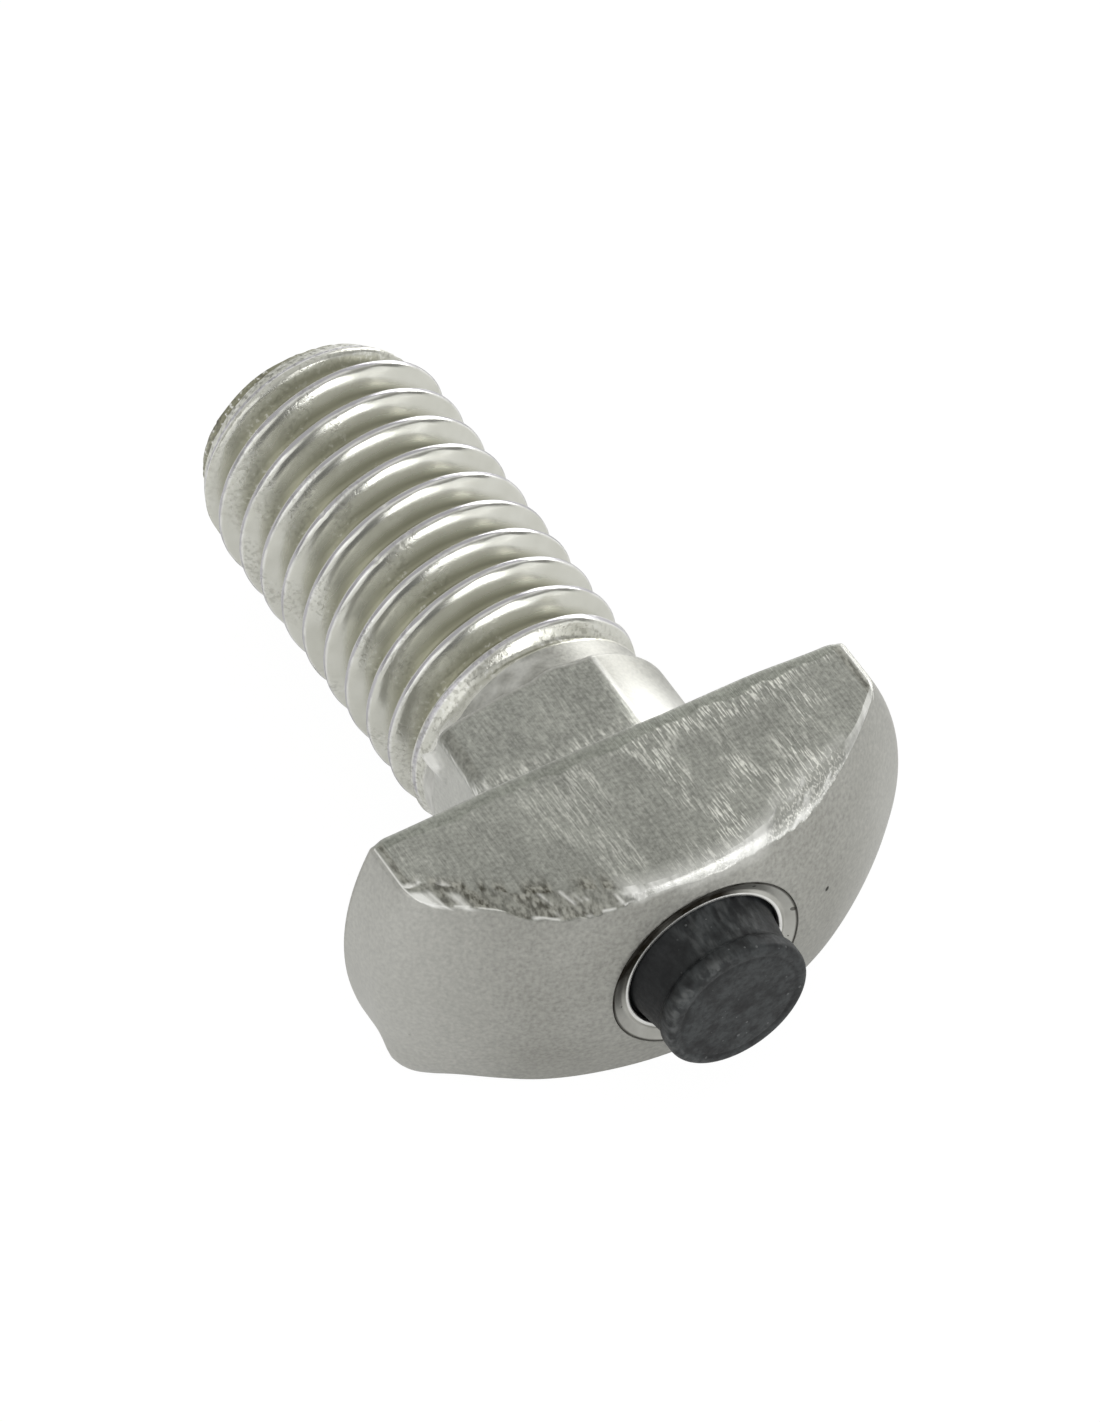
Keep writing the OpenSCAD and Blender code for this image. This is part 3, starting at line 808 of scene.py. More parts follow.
# the worn edge of the upper flat, from left to right: place along X, reach down the flat and over the dome
wornEdge = [
    (-7.5, 0.30, 0.30), (-7.0, 0.66, 0.30), (-6.4, 0.70, 0.17), (-5.8, 0.68, 0.20), (-5.5, 0.62, 0.75),
    (-4.6, 0.58, 0.77), (-3.5, 0.54, 0.60), (-2.4, 0.30, 0.36), (-1.4, 0.14, 0.22), (0.0, 0.13, 0.27),
    (1.4, 0.13, 0.36), (2.3, 0.24, 0.48), (3.0, 0.46, 0.58), (4.1, 0.62, 0.75), (5.2, 0.36, 0.70),
    (6.1, 0.16, 0.36), (6.5, 0.14, 0.22), (7.2, 0.18, 0.10), (7.5, 0.16, 0.08),
]
headWear = {
    "tearX": (-7.35, -2.6, 0.35), "burrX": (-2.1, 2.3, 0.5), "crumpleX": (2.8, 5.6, 0.5),  # from, to, fade
    "raggedNoises": ((0.5, 3), (0.16, 4)), "sideRagged": 0.25, "sideLeast": 0.03, "domeRagged": 0.12,
    "domeNoise": (0.3, 6), "domeLeast": 0.02, "plain": 0.12, "plainShare": 0.05, "plainNoise": (1.4, 8),
    "plainLeft": 0.5, "plainLeftX": (4.5, 7.2),
    "pullTear": 0.15, "pullBurr": 0.9, "pullCrumple": 0.7, "pullLower": 0.8, "pullUpper": 0.6,
    "bevelReach": 0.20, "bevelFade": 0.05, "bevelHighlight": 1.7, "bevelPlace": 0.2, "bevelWidth": 0.18,
    "innerX": (7.30, 7.46, 0.06), "innerTorn": 0.6,
    "blobs": ((1.7, -7.42, 0.19), (0.8, -7.08, 0.07), (0.7, -6.5, 0.14)),  # painted highlight, place along X, width
    "leftEndLight": 0.25, "leftEndLightX": (4.6, 8.8), "rightEndLight": 0.13, "rightEndLightX": (4.0, 7.5),
    "jagBase": 0.65, "jagShare": 0.5, "jagLead": 2.5, "jagNoise": (0.3, 24), "nearTear": (0.82, 1.0),
    "nearLean": 0.6, "nearNoise": (0.22, 25), "nearSpan": (-0.5, 0.5), "nearBurr": (0.92, 1.0),
    "nearBurrHighlight": 0.4, "nearCrumple": (0.85, 1.0), "nearCrumpleHighlight": 0.25,
    "ripLead": 0.25, "ripNoise": (0.10, 9), "ridgeLead": 1.2,
    "ridges": ((0.7, 0.42, 14), (0.6, 0.17, 15)), "tearDepth": 0.04, "crumpleDepth": 0.030,
    "dashNoise": (0.35, 16), "dashSpan": (-0.1, 0.3), "dashFrom": (0.86, 0.93), "dashHighlight": 0.9,
    "sparkSpan": (0.45, 0.8), "sparkX": (-4.6, -1.9, 0.4), "sparkPart": (0.1, 0.8, 0.1), "sparkHighlight": 0.7,
    "crumpleBase": 0.25, "crumpleSpan": (0.2, 0.8), "crumpleRim": 0.8, "crumpleFrom": (0.8, 0.92),
    "crumpleHighlight": 0.6, "crumpleShade": 0.12, "burrHighlight": 0.7, "burrRagged": 0.45, "burrRip": 0.5,
    "burrRipX": (0.8, 2.0), "rightEdgeX": (5.9, 7.3, 0.2), "rightEdgeHighlight": 0.5, "rightEdgeRagged": 0.6,
    "blobFrom": (0.2, 0.5), "tornNoise": (0.7, 26), "tornBase": 0.55, "tornShare": 0.45, "tornLead": 0.8,
    "tornSpan": (-0.2, 0.6), "tearTorn": 0.75, "ripTorn": 0.25,
    "paintedSheen": 0.24, "sheenX": (-0.4, 2.0, 0.9), "sheenTo": (0.1, 0.6), "glint": 0.3, "glintTo": (0.0, 0.15),
    "blobTo": (0.0, 0.045), "lift": 0.006, "liftLead": 2.5, "liftNoise": (0.9, 12),
}


# the lower left corner of the head is swollen
def bulged(b, s, radius, height):
    swell = s["cornerBulge"] * hump(b.degrees, s["bulgeTurn"], s["bulgeWidth"])
    return radius + swell * ramp(-height, *s["bulgeFrom"]) * (1 - ramp(-height, *s["bulgeTo"]))


# painted light: the head is made lighter towards both its ends
def paintedEndLight(b, wear, radius):
    x = radius * b.cosine
    left = wear["leftEndLight"] * ramp(-x, *wear["leftEndLightX"])
    return left + wear["rightEndLight"] * ramp(x, *wear["rightEndLightX"])


# edge between the sides and the dome: torn on the left of the upper flat, then a burr, then crumpled
def shapeHeadEdge(b, s, wear):
    along = b.along
    b.upper = b.onFlat * (b.sine > 0)
    lower = b.onFlat * (b.sine < 0)
    b.tear = b.upper * window(along, *wear["tearX"])
    b.burr = b.upper * window(along, *wear["burrX"])
    b.crumple = b.upper * window(along, *wear["crumpleX"])
    b.ragged = sum(0.5 * smoothNoise(along, *noise) for noise in wear["raggedNoises"])
    slope = math.atan2(s["headRadius"], math.sqrt(s["domeRadius"] ** 2 - s["headRadius"] ** 2))
    tangent = s["endRounding"] * math.tan((math.pi / 2 - slope) / 2)
    places, sideReach, domeReach = np.array(wornEdge).T
    wornSide = np.interp(along, places, sideReach) * (1 + wear["sideRagged"] * b.ragged) + wear["sideLeast"]
    uneven = 1 + wear["domeRagged"] * smoothNoise(along, *wear["domeNoise"])
    wornDome = np.interp(along, places, domeReach) * uneven + wear["domeLeast"]
    plain = wear["plain"] + wear["plainShare"] * smoothNoise(along, *wear["plainNoise"])
    plain = plain + wear["plainLeft"] * ramp(-along, *wear["plainLeftX"])
    onSide = tangent * (1 - b.onFlat) + b.upper * wornSide + lower * plain
    onDome = tangent * math.cos(slope) * (1 - b.onFlat) + b.upper * wornDome + lower * plain
    # 1 rounds the edge out to its corner, 0 cuts it straight
    pull = (1 - b.onFlat) + wear["pullTear"] * b.tear + wear["pullBurr"] * b.burr
    pull = pull + wear["pullCrumple"] * b.crumple + wear["pullLower"] * lower
    unworn = b.upper * (1 - np.clip(b.tear + b.burr + b.crumple, 0, 1))
    b.pull = np.clip(pull + wear["pullUpper"] * unworn, 0, 1)
    b.corner = domeHeight(s, b.headRadius)
    b.sideEnd = b.corner + onSide
    b.domeStart = b.headRadius - onDome
    half = math.sqrt(s["headRadius"] ** 2 - s["headHalf"] ** 2)
    bevel = window(np.abs(along), half - wear["bevelReach"], s["headRadius"], wear["bevelFade"])
    onBevel = hump(b.onFlat, wear["bevelPlace"], wear["bevelWidth"]) * (b.onFlat > 0.005)
    b.outer = wear["bevelHighlight"] * bevel * (b.sine > 0) * onBevel  # painted highlight where a bevel meets the end
    b.inner = b.upper * window(np.abs(along), *wear["innerX"])
    # painted highlights: white blobs at the left end of the upper flat
    b.blob = b.upper * sum(highlight * hump(along, place, width) for highlight, place, width in wear["blobs"])


def addHeadSides(b, s, wear):
    endLight = paintedEndLight(b, wear, b.headRadius) * (1 - b.onFlat)
    for part in s["sideRings"]:
        height = b.sideStart + (b.sideEnd - b.sideStart) * part
        jag = wear["jagBase"] + wear["jagShare"] * smoothNoise(height * wear["jagLead"], *wear["jagNoise"])
        ripped = ramp(smoothNoise(b.along + wear["nearLean"] * part, *wear["nearNoise"]), *wear["nearSpan"])
        torn = b.tear * ramp(part, *wear["nearTear"]) * ripped
        # painted highlights near the edge: bevel, blobs, burr, crumple and the ends
        highlight = b.outer * jag + endLight
        highlight = highlight + (b.blob + wear["nearBurrHighlight"] * b.burr) * ramp(part, *wear["nearBurr"])
        highlight = highlight + wear["nearCrumpleHighlight"] * b.crumple * ramp(part, *wear["nearCrumple"])
        torn = np.maximum(torn, wear["innerTorn"] * b.inner)
        addRow(b, bulged(b, s, b.headRadius, height), height, b.flatKind, torn=torn, bright=highlight)


# the band of the edge itself, a quadratic curve from the side to the dome, with painted highlights on the
# burr, the crumple, the tear and the right end
def addHeadBand(b, s, wear):
    along = b.along
    startHeight = domeHeight(s, b.domeStart)
    midRadius = 0.5 * (b.headRadius + b.domeStart) * (1 - b.pull) + b.headRadius * b.pull
    midHeight = 0.5 * (b.sideEnd + startHeight) * (1 - b.pull) + b.corner * b.pull
    for step in range(1, s["bandRows"]):
        part = step / s["bandRows"]
        first, middle, last = (1 - part) ** 2, 2 * part * (1 - part), part ** 2
        radius = first * b.headRadius + middle * midRadius + last * b.domeStart
        height = first * b.sideEnd + middle * midHeight + last * startHeight
        rip = patchNoise(along, wear["ripLead"] * part, *wear["ripNoise"])
        down = wear["ridgeLead"] * part
        ridge = sum(share * patchNoise(along, down, *noise) for share, *noise in wear["ridges"])
        dent = b.tear * wear["tearDepth"] * np.abs(rip) + b.crumple * wear["crumpleDepth"] * (1 + ridge)
        dashes = ramp(smoothNoise(along, *wear["dashNoise"]), *wear["dashSpan"])
        dashes = dashes * ramp(part, *wear["dashFrom"])
        sparks = ramp(rip, *wear["sparkSpan"]) * window(along, *wear["sparkX"])
        sparks = sparks * window(part, *wear["sparkPart"])
        crumpled = wear["crumpleBase"] + ramp(ridge, *wear["crumpleSpan"])
        crumpled = crumpled + wear["crumpleRim"] * ramp(part, *wear["crumpleFrom"])
        onBurr = wear["burrHighlight"] + wear["burrRagged"] * b.ragged
        onBurr = onBurr + wear["burrRip"] * rip * ramp(-along, *wear["burrRipX"])
        onRight = wear["rightEdgeHighlight"] + wear["rightEdgeRagged"] * b.ragged
        highlight = b.burr * onBurr + b.crumple * wear["crumpleHighlight"] * crumpled
        highlight = highlight + b.tear * np.maximum(wear["dashHighlight"] * dashes, wear["sparkHighlight"] * sparks)
        highlight = highlight + b.upper * window(along, *wear["rightEdgeX"]) * onRight
        highlight = highlight + b.outer + paintedEndLight(b, wear, radius) * (1 - b.onFlat)
        highlight = highlight + b.blob * ramp(part, *wear["blobFrom"])
        patches = smoothNoise(along, *wear["tornNoise"]) + wear["tornLead"] * part
        torn = wear["tornBase"] + wear["tornShare"] * ramp(patches, *wear["tornSpan"])
        torn = b.tear * torn * (wear["tearTorn"] + wear["ripTorn"] * rip) * (1 - b.burr)
        # painted shade in the low parts between the crumple's ridges
        torn = torn + wear["crumpleShade"] * b.crumple * (1 - np.clip(crumpled, 0, 1))
        addRow(b, bulged(b, s, radius - dent, height), height, b.flatKind, torn=torn, bright=highlight)


# dome down to the mouth of the sleeve's hole, and the hole; on the dome a painted glint and a painted sheen
# below the burr, and painted light towards the ends
def addDome(b, s, wear):
    hole, mouth = s["holeRadius"], domeHeight(s, s["holeRadius"])
    outside, inset, drop = s["holeBreak"]
    for part in np.linspace(0.0, 1.0, s["domeRows"]) ** s["domeCurve"]:
        radius = b.domeStart + (hole + outside - b.domeStart) * part
        lift = wear["lift"] * smoothNoise(radius + wear["liftLead"] * b.angles, *wear["liftNoise"])
        lift = lift * (0 < part < 0.95)
        # painted reflection: a pale sheen on the dome under the burr, with a painted glint beside the burr
        paintedSheen = wear["paintedSheen"] * b.upper * window(b.along, *wear["sheenX"])
        paintedSheen = paintedSheen * (1 - ramp(part, *wear["sheenTo"]))
        highlight = wear["glint"] * b.burr * (1 - ramp(part, *wear["glintTo"])) + paintedEndLight(b, wear, radius)
        highlight = np.maximum(highlight + b.blob * (1 - ramp(part, *wear["blobTo"])), paintedSheen)
        height = domeHeight(s, radius)
        addRow(b, bulged(b, s, radius, height), height + lift, forged, bright=highlight)
    addRow(b, hole + inset, mouth + drop, forged)
    for depth in (*s["holeRings"], s["holeEnd"] - mouth):
        addRow(b, hole - inset, mouth + depth, forged)


def makeBoltBlank(s):
    b = startBlank(s)
    addTip(b, s)
    addShank(b, s, threadWear)
    addNeckRoof(b, s, neckWear)
    addNeckSides(b, s, neckWear)
    addSeat(b, s)
    shapeHeadEdge(b, s, headWear)
    addHeadSides(b, s, headWear)
    addHeadBand(b, s, headWear)
    addDome(b, s, headWear)
    materials = [rolledSteel, shearedSteel, forgedSteel]
    poles = (s["shankLength"] - s["tipDish"], s["holeEnd"])
    return ringMesh("bolt_forged", b.angles, b.rows, *poles, materials, b.kinds, b.masks)


def startTree(name, labels):
    tree = bpy.data.node_groups.new(name, "GeometryNodeTree")
    tree.interface.new_socket("Geometry", in_out="INPUT", socket_type="NodeSocketGeometry")
    for label in labels:
        tree.interface.new_socket(label, in_out="INPUT", socket_type="NodeSocketFloat")
    tree.interface.new_socket("Finish", in_out="INPUT", socket_type="NodeSocketMaterial")
    tree.interface.new_socket("Geometry", in_out="OUTPUT", socket_type="NodeSocketGeometry")
    return tree, addNode(tree, "NodeGroupInput"), addNode(tree, "NodeGroupOutput")


def endTree(tree, entry, leave, geometry, chosen=None):
    whole = addNode(tree, "GeometryNodeRealizeInstances")
    tree.links.new(geometry, whole.inputs[0])
    finish = addNode(tree, "GeometryNodeSetMaterial")
    tree.links.new(whole.outputs[0], finish.inputs["Geometry"])
    tree.links.new(entry.outputs["Finish"], finish.inputs["Material"])
    if chosen is not None:
        tree.links.new(chosen, finish.inputs["Selection"])
    tree.links.new(finish.outputs[0], leave.inputs[0])
    return tree


def storeValue(tree, geometry, name, value):
    node = addNode(tree, "GeometryNodeStoreNamedAttribute", data_type="FLOAT", domain="POINT")
    node.inputs["Name"].default_value = name
    tree.links.new(geometry, node.inputs["Geometry"])
    tree.links.new(value, node.inputs["Value"])
    return node.outputs[0]


# presses a helical groove into the points that the shank mask marks
def makeThreadTree():
    tree, entry, leave = startTree("rolledThread", threadSizes)
    sizes = entry.outputs
    where = addNode(tree, "GeometryNodeInputPosition")
    parts = addNode(tree, "ShaderNodeSeparateXYZ")
    tree.links.new(where.outputs[0], parts.inputs[0])
    x, y, z = parts.outputs
    turned = mathNode(tree, "SUBTRACT", mathNode(tree, "ARCTAN2", z, x), sizes["Crest Angle"])
    turns = mathNode(tree, "DIVIDE", turned, 2 * math.pi)
    raised = mathNode(tree, "SUBTRACT", y, sizes["Crest Height"])
    pitches = mathNode(tree, "DIVIDE", raised, sizes["Pitch"])
    phase = mathNode(tree, "ADD", turns, pitches)
    halfway = mathNode(tree, "FRACT", mathNode(tree, "ADD", phase, 0.5))
    offset = mathNode(tree, "ABSOLUTE", mathNode(tree, "SUBTRACT", halfway, 0.5))
    distance = times(tree, offset, 2.0)  # 0 on the crest, 1 in the root
    flank = mathNode(tree, "SINE", times(tree, phase, 2 * math.pi))

    form = addNode(tree, "ShaderNodeFloatCurve")
    curve = form.mapping.curves[0]
    curve.points[0].location = (0.0, 0.0)
    curve.points[1].location = (1.0, 1.0)
    for spot in threadForm:
        curve.points.new(*spot)
    form.mapping.update()
    tree.links.new(distance, form.inputs["Value"])
    fade = mapValue(tree, y, (sizes["Run Out From"], sizes["Run Out To"]), fadeIn, smooth=True)
    cut = times(tree, times(tree, form.outputs[0], fade), sizes["Depth"])
    wanted = mathNode(tree, "SUBTRACT", sizes["Crest Radius"], cut)

    flat = addNode(tree, "ShaderNodeCombineXYZ")
    tree.links.new(x, flat.inputs[0])
    tree.links.new(z, flat.inputs[2])
    length = addNode(tree, "ShaderNodeVectorMath", operation="LENGTH")
    tree.links.new(flat.outputs[0], length.inputs[0])
    radius = mathNode(tree, "MAXIMUM", length.outputs["Value"], 1e-6)
    factor = mathNode(tree, "DIVIDE", mathNode(tree, "MINIMUM", radius, wanted), radius)
    moved = addNode(tree, "ShaderNodeCombineXYZ")
    tree.links.new(times(tree, x, factor), moved.inputs[0])
    tree.links.new(y, moved.inputs[1])
    tree.links.new(times(tree, z, factor), moved.inputs[2])

    shank = addNode(tree, "GeometryNodeInputNamedAttribute", data_type="FLOAT")
    shank.inputs["Name"].default_value = "shank"
    onShank = mathNode(tree, "GREATER_THAN", shank.outputs[0], 0.5)
    level = times(tree, mathNode(tree, "SUBTRACT", distance, 0.5), fade)
    marked = storeValue(tree, sizes["Geometry"], "crest", mathNode(tree, "ADD", level, 0.5))
    marked = storeValue(tree, marked, "flank", flank)
    push = addNode(tree, "GeometryNodeSetPosition")
    tree.links.new(marked, push.inputs["Geometry"])
    tree.links.new(onShank, push.inputs["Selection"])
    tree.links.new(moved.outputs[0], push.inputs["Position"])
    return endTree(tree, entry, leave, push.outputs[0], onShank)


def bakeTree(piece, tree, values):
    modifier = piece.modifiers.new(tree.name, "NODES")
    modifier.node_group = tree
    for item in tree.interface.items_tree:
        if item.in_out == "INPUT" and item.name in values:
            modifier[item.identifier] = values[item.name]
    bpy.context.view_layer.update()
    result = bpy.data.meshes.new_from_object(piece.evaluated_get(bpy.context.evaluated_depsgraph_get()))
    piece.modifiers.remove(modifier)
    result.name = piece.name
    piece.data = result
    return piece


bolt = makeBoltBlank(boltSizes)
threadValues = {name: value * mm for name, value in threadSizes.items()}
threadValues["Crest Angle"] = math.radians(threadSizes["Crest Angle"])
threadValues["Finish"] = rolledSteel
bakeTree(bolt, makeThreadTree(), threadValues)
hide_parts("bolt")
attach(bolt, "bolt")
print("bolt:", len(bolt.data.polygons), "faces")


# the push-fit sleeve and the pin, turned round the Y axis

def roundCorner(first, corner, last, reach, count=5):
    first, corner, last = (np.array(spot, float) for spot in (first, corner, last))
    start = corner + (first - corner) / np.linalg.norm(first - corner) * reach
    stop = corner + (last - corner) / np.linalg.norm(last - corner) * reach
    steps = np.linspace(0, 1, count)
    return [tuple((1 - t) ** 2 * start + 2 * t * (1 - t) * corner + t ** 2 * stop) for t in steps]


def turnedPiece(name, profile, firstPole, lastPole, material, masks, count=120):
    angles = np.radians(np.linspace(0, 360, count, endpoint=False))
    full = {}
    for label, mask in masks.items():
        full[label] = [mask(radius, height, angles) for radius, height in profile]
    kinds = [0] * len(profile)
    return ringMesh(name, angles, profile, firstPole, lastPole, [material], kinds, full)


sleeveSizes = {
    "radius": 2.995, "inner": 2.70, "opening": 2.43, "end": -1.057, "floor": -1.407, "mouth": -5.655,
    "rimUnder": -5.357, "grooveRadius": 2.64, "groove": -5.498, "lip": -5.566, "lipWidth": 0.09,
    "lipRise": 0.004,
    "chamfer": 0.1, "shoulder": 0.5, "rimRound": 0.03, "slopeRings": (0.07, 0.2), "grooveRound": 0.05,
    "lipRound": 0.04, "shadeAngle": 120, "shadeSpan": (0.62, 0.92), "shadeReach": 0.4, "shadeFrom": 0.03,
    "outline": 0.04, "outlineShade": 0.8, "lipReach": (0.05, 0.02), "lipHighlight": 0.75, "lipShare": 0.2,
    "lipGirth": 2.5, "lipNoise": (0.4, 31),
}


def makeSleeve(s):
    lipEdge = s["opening"] + s["lipWidth"]
    outer, groove = (s["radius"], s["mouth"]), (s["grooveRadius"], s["groove"])
    innerLip = (s["opening"], s["lip"])
    chamfer, lipRound = s["chamfer"], s["lipRound"]
    shoulder = (s["radius"], s["mouth"] + s["shoulder"])
    profile = [(s["radius"] - chamfer, s["end"]), (s["radius"], s["end"] - chamfer), shoulder]
    profile += roundCorner(shoulder, outer, groove, s["rimRound"], 4)
    slope = (s["groove"] - s["mouth"]) / (s["radius"] - s["grooveRadius"])
    profile += [(s["radius"] - step, s["mouth"] + slope * step) for step in s["slopeRings"]]
    profile += roundCorner(outer, groove, (lipEdge, s["lip"]), s["grooveRound"], 5)
    profile += roundCorner(groove, (lipEdge, s["lip"] - s["lipRise"]), innerLip, lipRound, 4)
    profile += roundCorner((lipEdge, s["lip"]), innerLip, (s["opening"], s["rimUnder"]), lipRound, 4)
    profile += [(s["opening"], s["rimUnder"] - lipRound), (s["opening"] + lipRound, s["rimUnder"])]
    profile += [(s["inner"], s["rimUnder"]), (s["inner"], s["floor"] - chamfer)]
    profile.append((s["inner"] - chamfer, s["floor"]))

    # painted shade: the groove is darkened towards one side, and a dark line runs round the sleeve's outer
    # edge
    def shadeAndSpecks(radius, height, angles):
        facing = 0.5 + 0.5 * np.cos(angles - math.radians(s["shadeAngle"]))
        inGroove = float(height < s["mouth"] + s["shadeReach"]) * float(radius > lipEdge + s["shadeFrom"])
        outline = s["outlineShade"] * float(radius > s["radius"] - s["outline"])
        return inGroove * np.clip(ramp(facing, *s["shadeSpan"]) + outline, 0, 1)

    # painted highlight: the lip is made nearly white
    def lip(radius, height, angles):
        below, outside = s["lipReach"]
        onLip = float(height < s["lip"] + below) * float(radius < lipEdge + outside)
        return onLip * (s["lipHighlight"] + s["lipShare"] * smoothNoise(angles * s["lipGirth"], *s["lipNoise"]))

    masks = {"shadeAndSpecks": shadeAndSpecks, "lip": lip}
    return turnedPiece("plunger_sleeve_rim", profile, s["end"], s["floor"], sleeveSteel, masks)


pinSizes = {
    "radius": 2.325, "waist": 2.13, "bead": 2.265, "beadLength": 0.56, "top": -7.475, "edge": 0.24,
    "collar": 2.64, "collarTop": -5.337, "collarEnd": -4.337, "collarChamfer": 0.15, "collarEdge": 0.1,
    "collarFoot": 0.05, "waistRound": 0.09, "beadRound": 0.08, "ring": 1.86, "ringDepth": 0.025,
    "ringWidth": 0.06,
    "ringSteps": (0.10, 0.05, 0.0, -0.05, -0.12), "dish": ((1.4, 0.006), (1.0, 0.010), (0.5, 0.012)),
    "litAngle": 45, "litBase": 0.55, "litShare": 0.45, "filmShare": 0.45, "beadFilm": 0.9, "beadFade": 0.1,
    "ringFilm": 0.5, "ringReach": 0.07, "smudge": 0.9, "smudgeTurn": (96, 16), "scuffPlace": (0.12, 0.16),
    "scuffReach": 0.3, "scuffTurn": (110, 225, 30), "waistScuff": 0.6, "waistTurn": (62, 108, 16),
}


def makePin(s):
    beadStart = s["top"] + s["beadLength"]
    waistSpot = (s["waist"], beadStart + s["bead"] - s["waist"])
    beadSpot, topSpot = (s["bead"], beadStart), (s["bead"], s["top"])
    chamfer, edge, foot = s["collarChamfer"], s["collarEdge"], s["collarFoot"]
    profile = [(s["collar"] - chamfer, s["collarEnd"]), (s["collar"], s["collarEnd"] - chamfer)]
    profile += [(s["collar"], s["collarTop"] + edge), (s["collar"] - edge, s["collarTop"])]
    profile += [(s["radius"] + foot, s["collarTop"]), (s["radius"], s["collarTop"] - foot)]
    profile += roundCorner((s["radius"], s["collarTop"]), waistSpot, beadSpot, s["waistRound"], 5)
    profile += roundCorner(waistSpot, beadSpot, topSpot, s["beadRound"], 5)
    profile += roundCorner(beadSpot, topSpot, (0, s["top"]), s["edge"], 9)
    for step in s["ringSteps"]:
        profile.append((s["ring"] + step, s["top"] + s["ringDepth"] * float(hump(step, 0, s["ringWidth"]))))
    profile += [(radius, s["top"] + depth) for radius, depth in s["dish"]]

    def film(radius, height, angles):
        # painted light: the film is made heavier towards one side of the shaft
        lit = s["litBase"] + s["litShare"] * np.cos(angles - math.radians(s["litAngle"]))
        onBead = float(ramp(-height, -waistSpot[1] - s["beadFade"], -beadSpot[1]))
        inRing = float(hump(radius, s["ring"], s["ringReach"])) * float(height < s["top"] + 0.1)
        smudge = s["smudge"] * hump(np.degrees(angles), *s["smudgeTurn"])
        cover = (s["filmShare"] * lit + smudge) * (1 - onBead) + s["beadFilm"] * onBead
        return np.clip(cover - s["ringFilm"] * inRing, 0, 1)

    def scuff(radius, height, angles):
        below, width = s["scuffPlace"]
        onEdge = float(hump(height, s["top"] + below, width)) * float(radius > s["bead"] - s["scuffReach"])
        onWaist = float(height > beadSpot[1] + 0.02) * float(radius < s["radius"] + 0.01)
        turn = np.degrees(angles)
        edges = onEdge * window(turn, *s["scuffTurn"])
        return edges + s["waistScuff"] * onWaist * window(turn, *s["waistTurn"])

    ends = (s["collarEnd"], s["top"] + s["dish"][-1][1])
    return turnedPiece("plunger_pin_body", profile, *ends, pinPlastic, {"film": film, "scuff": scuff})


sleeve = makeSleeve(sleeveSizes)
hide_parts("plunger_sleeve")
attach(sleeve, "bolt")
pin = makePin(pinSizes)
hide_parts("plunger_pin")
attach(pin, "pin")
print("sleeve and pin:", len(sleeve.data.polygons) + len(pin.data.polygons), "faces")


# the return spring, coiled along a spiral

springSizes = {"Coil Radius": 2.42, "Wire Radius": 0.155, "Turns": 3.4, "Length": 2.56}
springPlace = {"bed": -1.407, "lift": 0.17, "kept": 0.52, "coilSteps": 40, "wireSides": 12}


def makeSpringTree(place):
    tree, entry, leave = startTree("returnSpring", springSizes)
    sizes = entry.outputs
    coil = addNode(tree, "GeometryNodeCurveSpiral")
    coil.inputs["Resolution"].default_value = place["coilSteps"]
    tree.links.new(sizes["Turns"], coil.inputs["Rotations"])
    tree.links.new(sizes["Coil Radius"], coil.inputs["Start Radius"])
    tree.links.new(sizes["Coil Radius"], coil.inputs["End Radius"])
    tree.links.new(sizes["Length"], coil.inputs["Height"])
    wire = addNode(tree, "GeometryNodeCurvePrimitiveCircle")
    wire.inputs["Resolution"].default_value = place["wireSides"]
    tree.links.new(sizes["Wire Radius"], wire.inputs["Radius"])
    sweep = addNode(tree, "GeometryNodeCurveToMesh")
    sweep.inputs["Fill Caps"].default_value = True
    tree.links.new(coil.outputs[0], sweep.inputs["Curve"])
    tree.links.new(wire.outputs[0], sweep.inputs["Profile Curve"])
    return endTree(tree, entry, leave, sweep.outputs[0])


def makeSpring(s, place):
    piece = bpy.data.objects.new("plunger_spring_wire", bpy.data.meshes.new("plunger_spring_wire"))
    scene.collection.objects.link(piece)
    values = {name: value if name == "Turns" else value * mm for name, value in s.items()}
    values["Finish"] = wireSteel
    bakeTree(piece, makeSpringTree(place), values)
    seat = Matrix.Translation((0, (place["bed"] - place["lift"]) * mm, 0))
    piece.data.transform(seat @ Matrix.Rotation(math.pi / 2, 4, "X"))
    piece.data.polygons.foreach_set("use_smooth", [True] * len(piece.data.polygons))
    return piece


spring = makeSpring(springSizes, springPlace)
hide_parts("plunger_spring")
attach(spring, "bolt")
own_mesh(spring)
print("spring:", len(spring.data.polygons), "faces")


# floor, light and camera

stageSizes = {
    "floorHeight": -3.935, "floorRadius": 500, "floorSides": 96, "colour": (0.86, 0.86, 0.85), "glow": 1.05,
    "cameraShare": 0.92, "mirrorShare": 0.41,
}


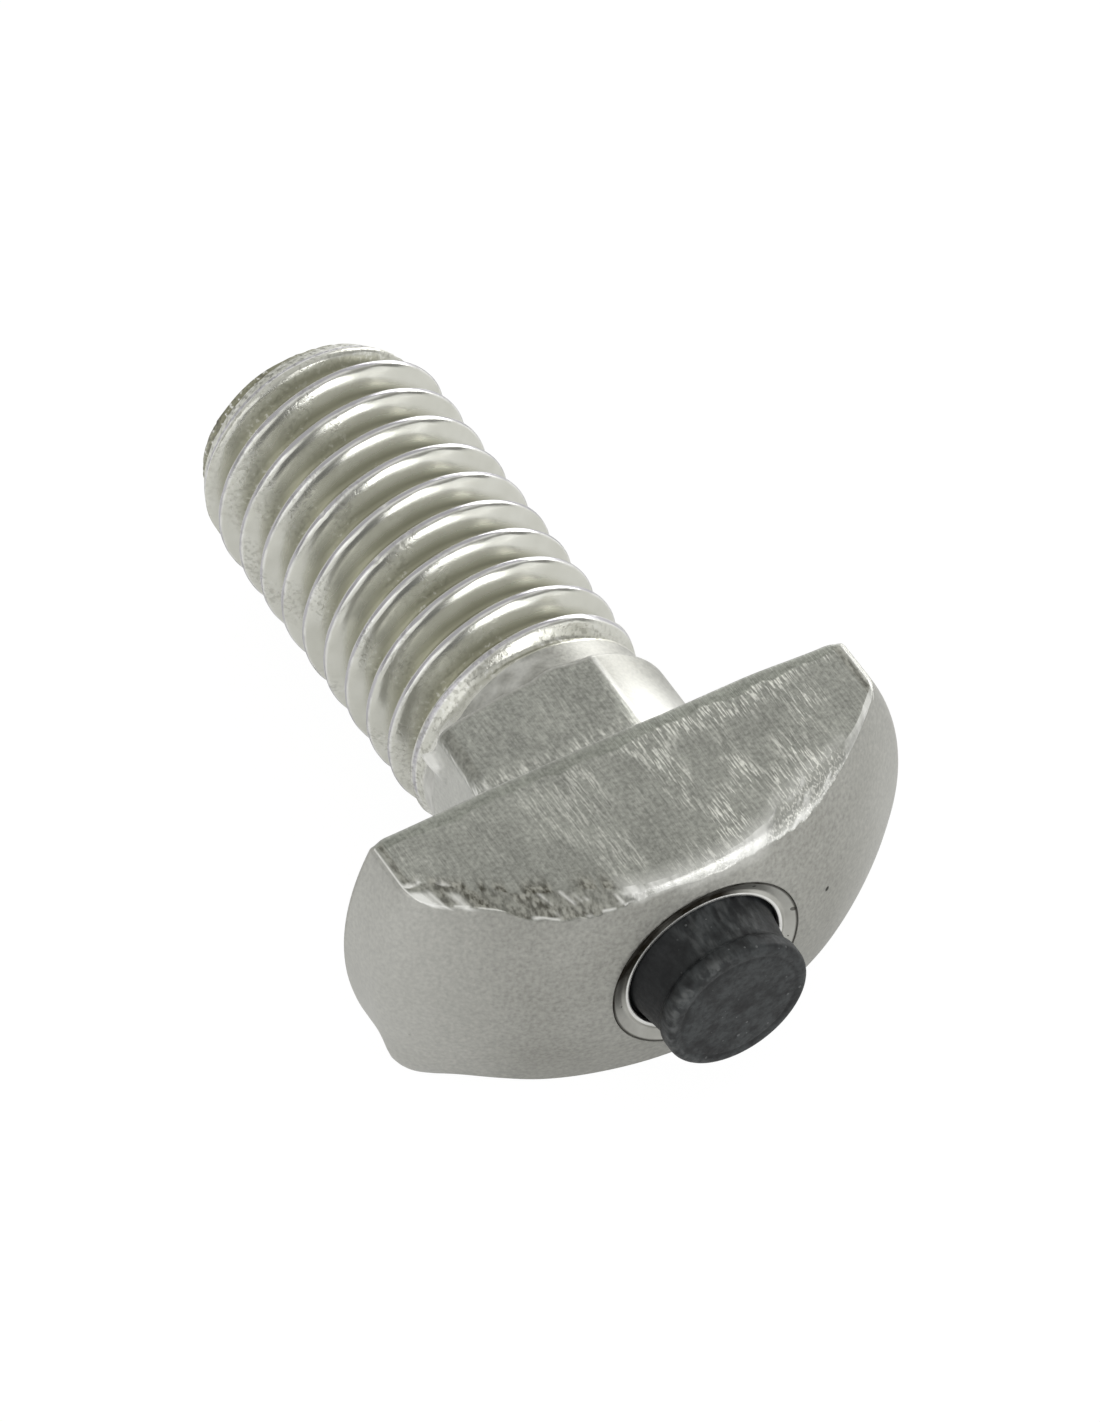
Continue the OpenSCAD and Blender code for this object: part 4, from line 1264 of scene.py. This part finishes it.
def makeFloor(s):
    mesh = bpy.data.meshes.new("floor")
    sides = range(s["floorSides"])
    turns = [step * 2 * math.pi / s["floorSides"] for step in sides]
    reach, level = s["floorRadius"] * mm, s["floorHeight"] * mm
    mesh.from_pydata([(reach * math.cos(t), reach * math.sin(t), level) for t in turns], [], [list(sides)])
    floor = bpy.data.objects.new("floor", mesh)
    scene.collection.objects.link(floor)
    material, tree, shader = newMaterial("paleFloor", 0.0, 0.9)
    shader.inputs["Base Color"].default_value = (*s["colour"], 1.0)
    glow = addNode(tree, "ShaderNodeEmission")
    glow.inputs["Strength"].default_value = s["glow"]
    ray = addNode(tree, "ShaderNodeLightPath").outputs
    mirrored = mathNode(tree, "MAXIMUM", ray["Is Glossy Ray"], ray["Is Transmission Ray"])
    mirrored = times(tree, mirrored, s["mirrorShare"])
    direct = times(tree, ray["Is Camera Ray"], s["cameraShare"])
    blend = addNode(tree, "ShaderNodeMixShader")
    tree.links.new(mathNode(tree, "ADD", direct, mirrored), blend.inputs[0])
    tree.links.new(shader.outputs[0], blend.inputs[1])
    tree.links.new(glow.outputs[0], blend.inputs[2])
    tree.links.new(blend.outputs[0], tree.nodes["Material Output"].inputs["Surface"])
    mesh.materials.append(material)


lampDistance = 160
lampSettings = [
    {"name": "frontBox", "aim": (0.33, -0.86, 0.36), "size": (78, 100), "power": 0.068},
    {"name": "rightBox", "aim": (0.83, 0.54, 0.20), "size": (140, 80), "power": 0.115},
    {"name": "sideBox", "aim": (0.72, -0.68, 0.12), "size": (90, 60), "power": 0.016},
    {"name": "leftBox", "aim": (-0.80, -0.40, 0.45), "size": (200, 140), "power": 0.066},
]


def makeLamps(settings):
    for lamp in settings:
        light = bpy.data.lights.new(lamp["name"], "AREA")
        light.shape = "RECTANGLE"
        light.size, light.size_y = (side * mm for side in lamp["size"])
        light.energy = lamp["power"]
        holder = bpy.data.objects.new(lamp["name"], light)
        direction = Vector(lamp["aim"]).normalized()
        holder.location = direction * lampDistance * mm
        holder.rotation_euler = direction.to_track_quat("Z", "Y").to_euler()
        scene.collection.objects.link(holder)


# the sky is paler behind and above the bolt than in front of it
skySettings = {"front": (0.17, 0.17, 0.165), "back": (0.66, 0.66, 0.64), "lean": 0.6, "span": (-0.3, 0.9)}


def makeWorld(s):
    world = bpy.data.worlds.new("studio")
    world.use_nodes = True
    tree = world.node_tree
    way = addNode(tree, "ShaderNodeTexCoord")
    parts = addNode(tree, "ShaderNodeSeparateXYZ")
    tree.links.new(way.outputs["Generated"], parts.inputs[0])
    behind = mathNode(tree, "ADD", parts.outputs[2], times(tree, parts.outputs[1], s["lean"]))
    level = mapValue(tree, behind, s["span"], fadeIn, smooth=True)
    tree.links.new(mixColour(tree, level, s["front"], s["back"]), tree.nodes["Background"].inputs["Color"])
    scene.world = world


cameraSettings = {
    "azimuth": -29.91, "elevation": 49.69, "roll": -0.10, "distance": 274.8, "sensor": 36,
    "clip": (0.01, 10),
    "pixelsPerMm": 35.34, "originPixel": (604.46, 827.86), "image": (1100, 1422),
}


def makeCamera(s):
    turn, lift, roll = (math.radians(s[name]) for name in ("azimuth", "elevation", "roll"))
    back = Vector((math.sin(turn) * math.cos(lift), -math.cos(turn) * math.cos(lift), math.sin(lift)))
    level = Vector((math.cos(turn), math.sin(turn), 0))
    upright = back.cross(level)
    right = level * math.cos(roll) + upright * math.sin(roll)
    up = upright * math.cos(roll) - level * math.sin(roll)
    width, tall = s["image"]
    sideways = (width / 2 - s["originPixel"][0]) / s["pixelsPerMm"]
    upwards = (s["originPixel"][1] - tall / 2) / s["pixelsPerMm"]
    data = bpy.data.cameras.new("photoView")
    data.sensor_width = s["sensor"]
    data.lens = s["pixelsPerMm"] * s["distance"] * s["sensor"] / max(s["image"])
    data.clip_start, data.clip_end = s["clip"]
    camera = bpy.data.objects.new("photoView", data)
    place = (right * sideways + up * upwards + back * s["distance"]) * mm
    camera.matrix_world = Matrix.Translation(place) @ Matrix((right, up, back)).transposed().to_4x4()
    scene.collection.objects.link(camera)
    scene.camera = camera


makeFloor(stageSizes)
makeLamps(lampSettings)
makeWorld(skySettings)
makeCamera(cameraSettings)
scene.view_settings.view_transform = "Standard"
print("stage ready")
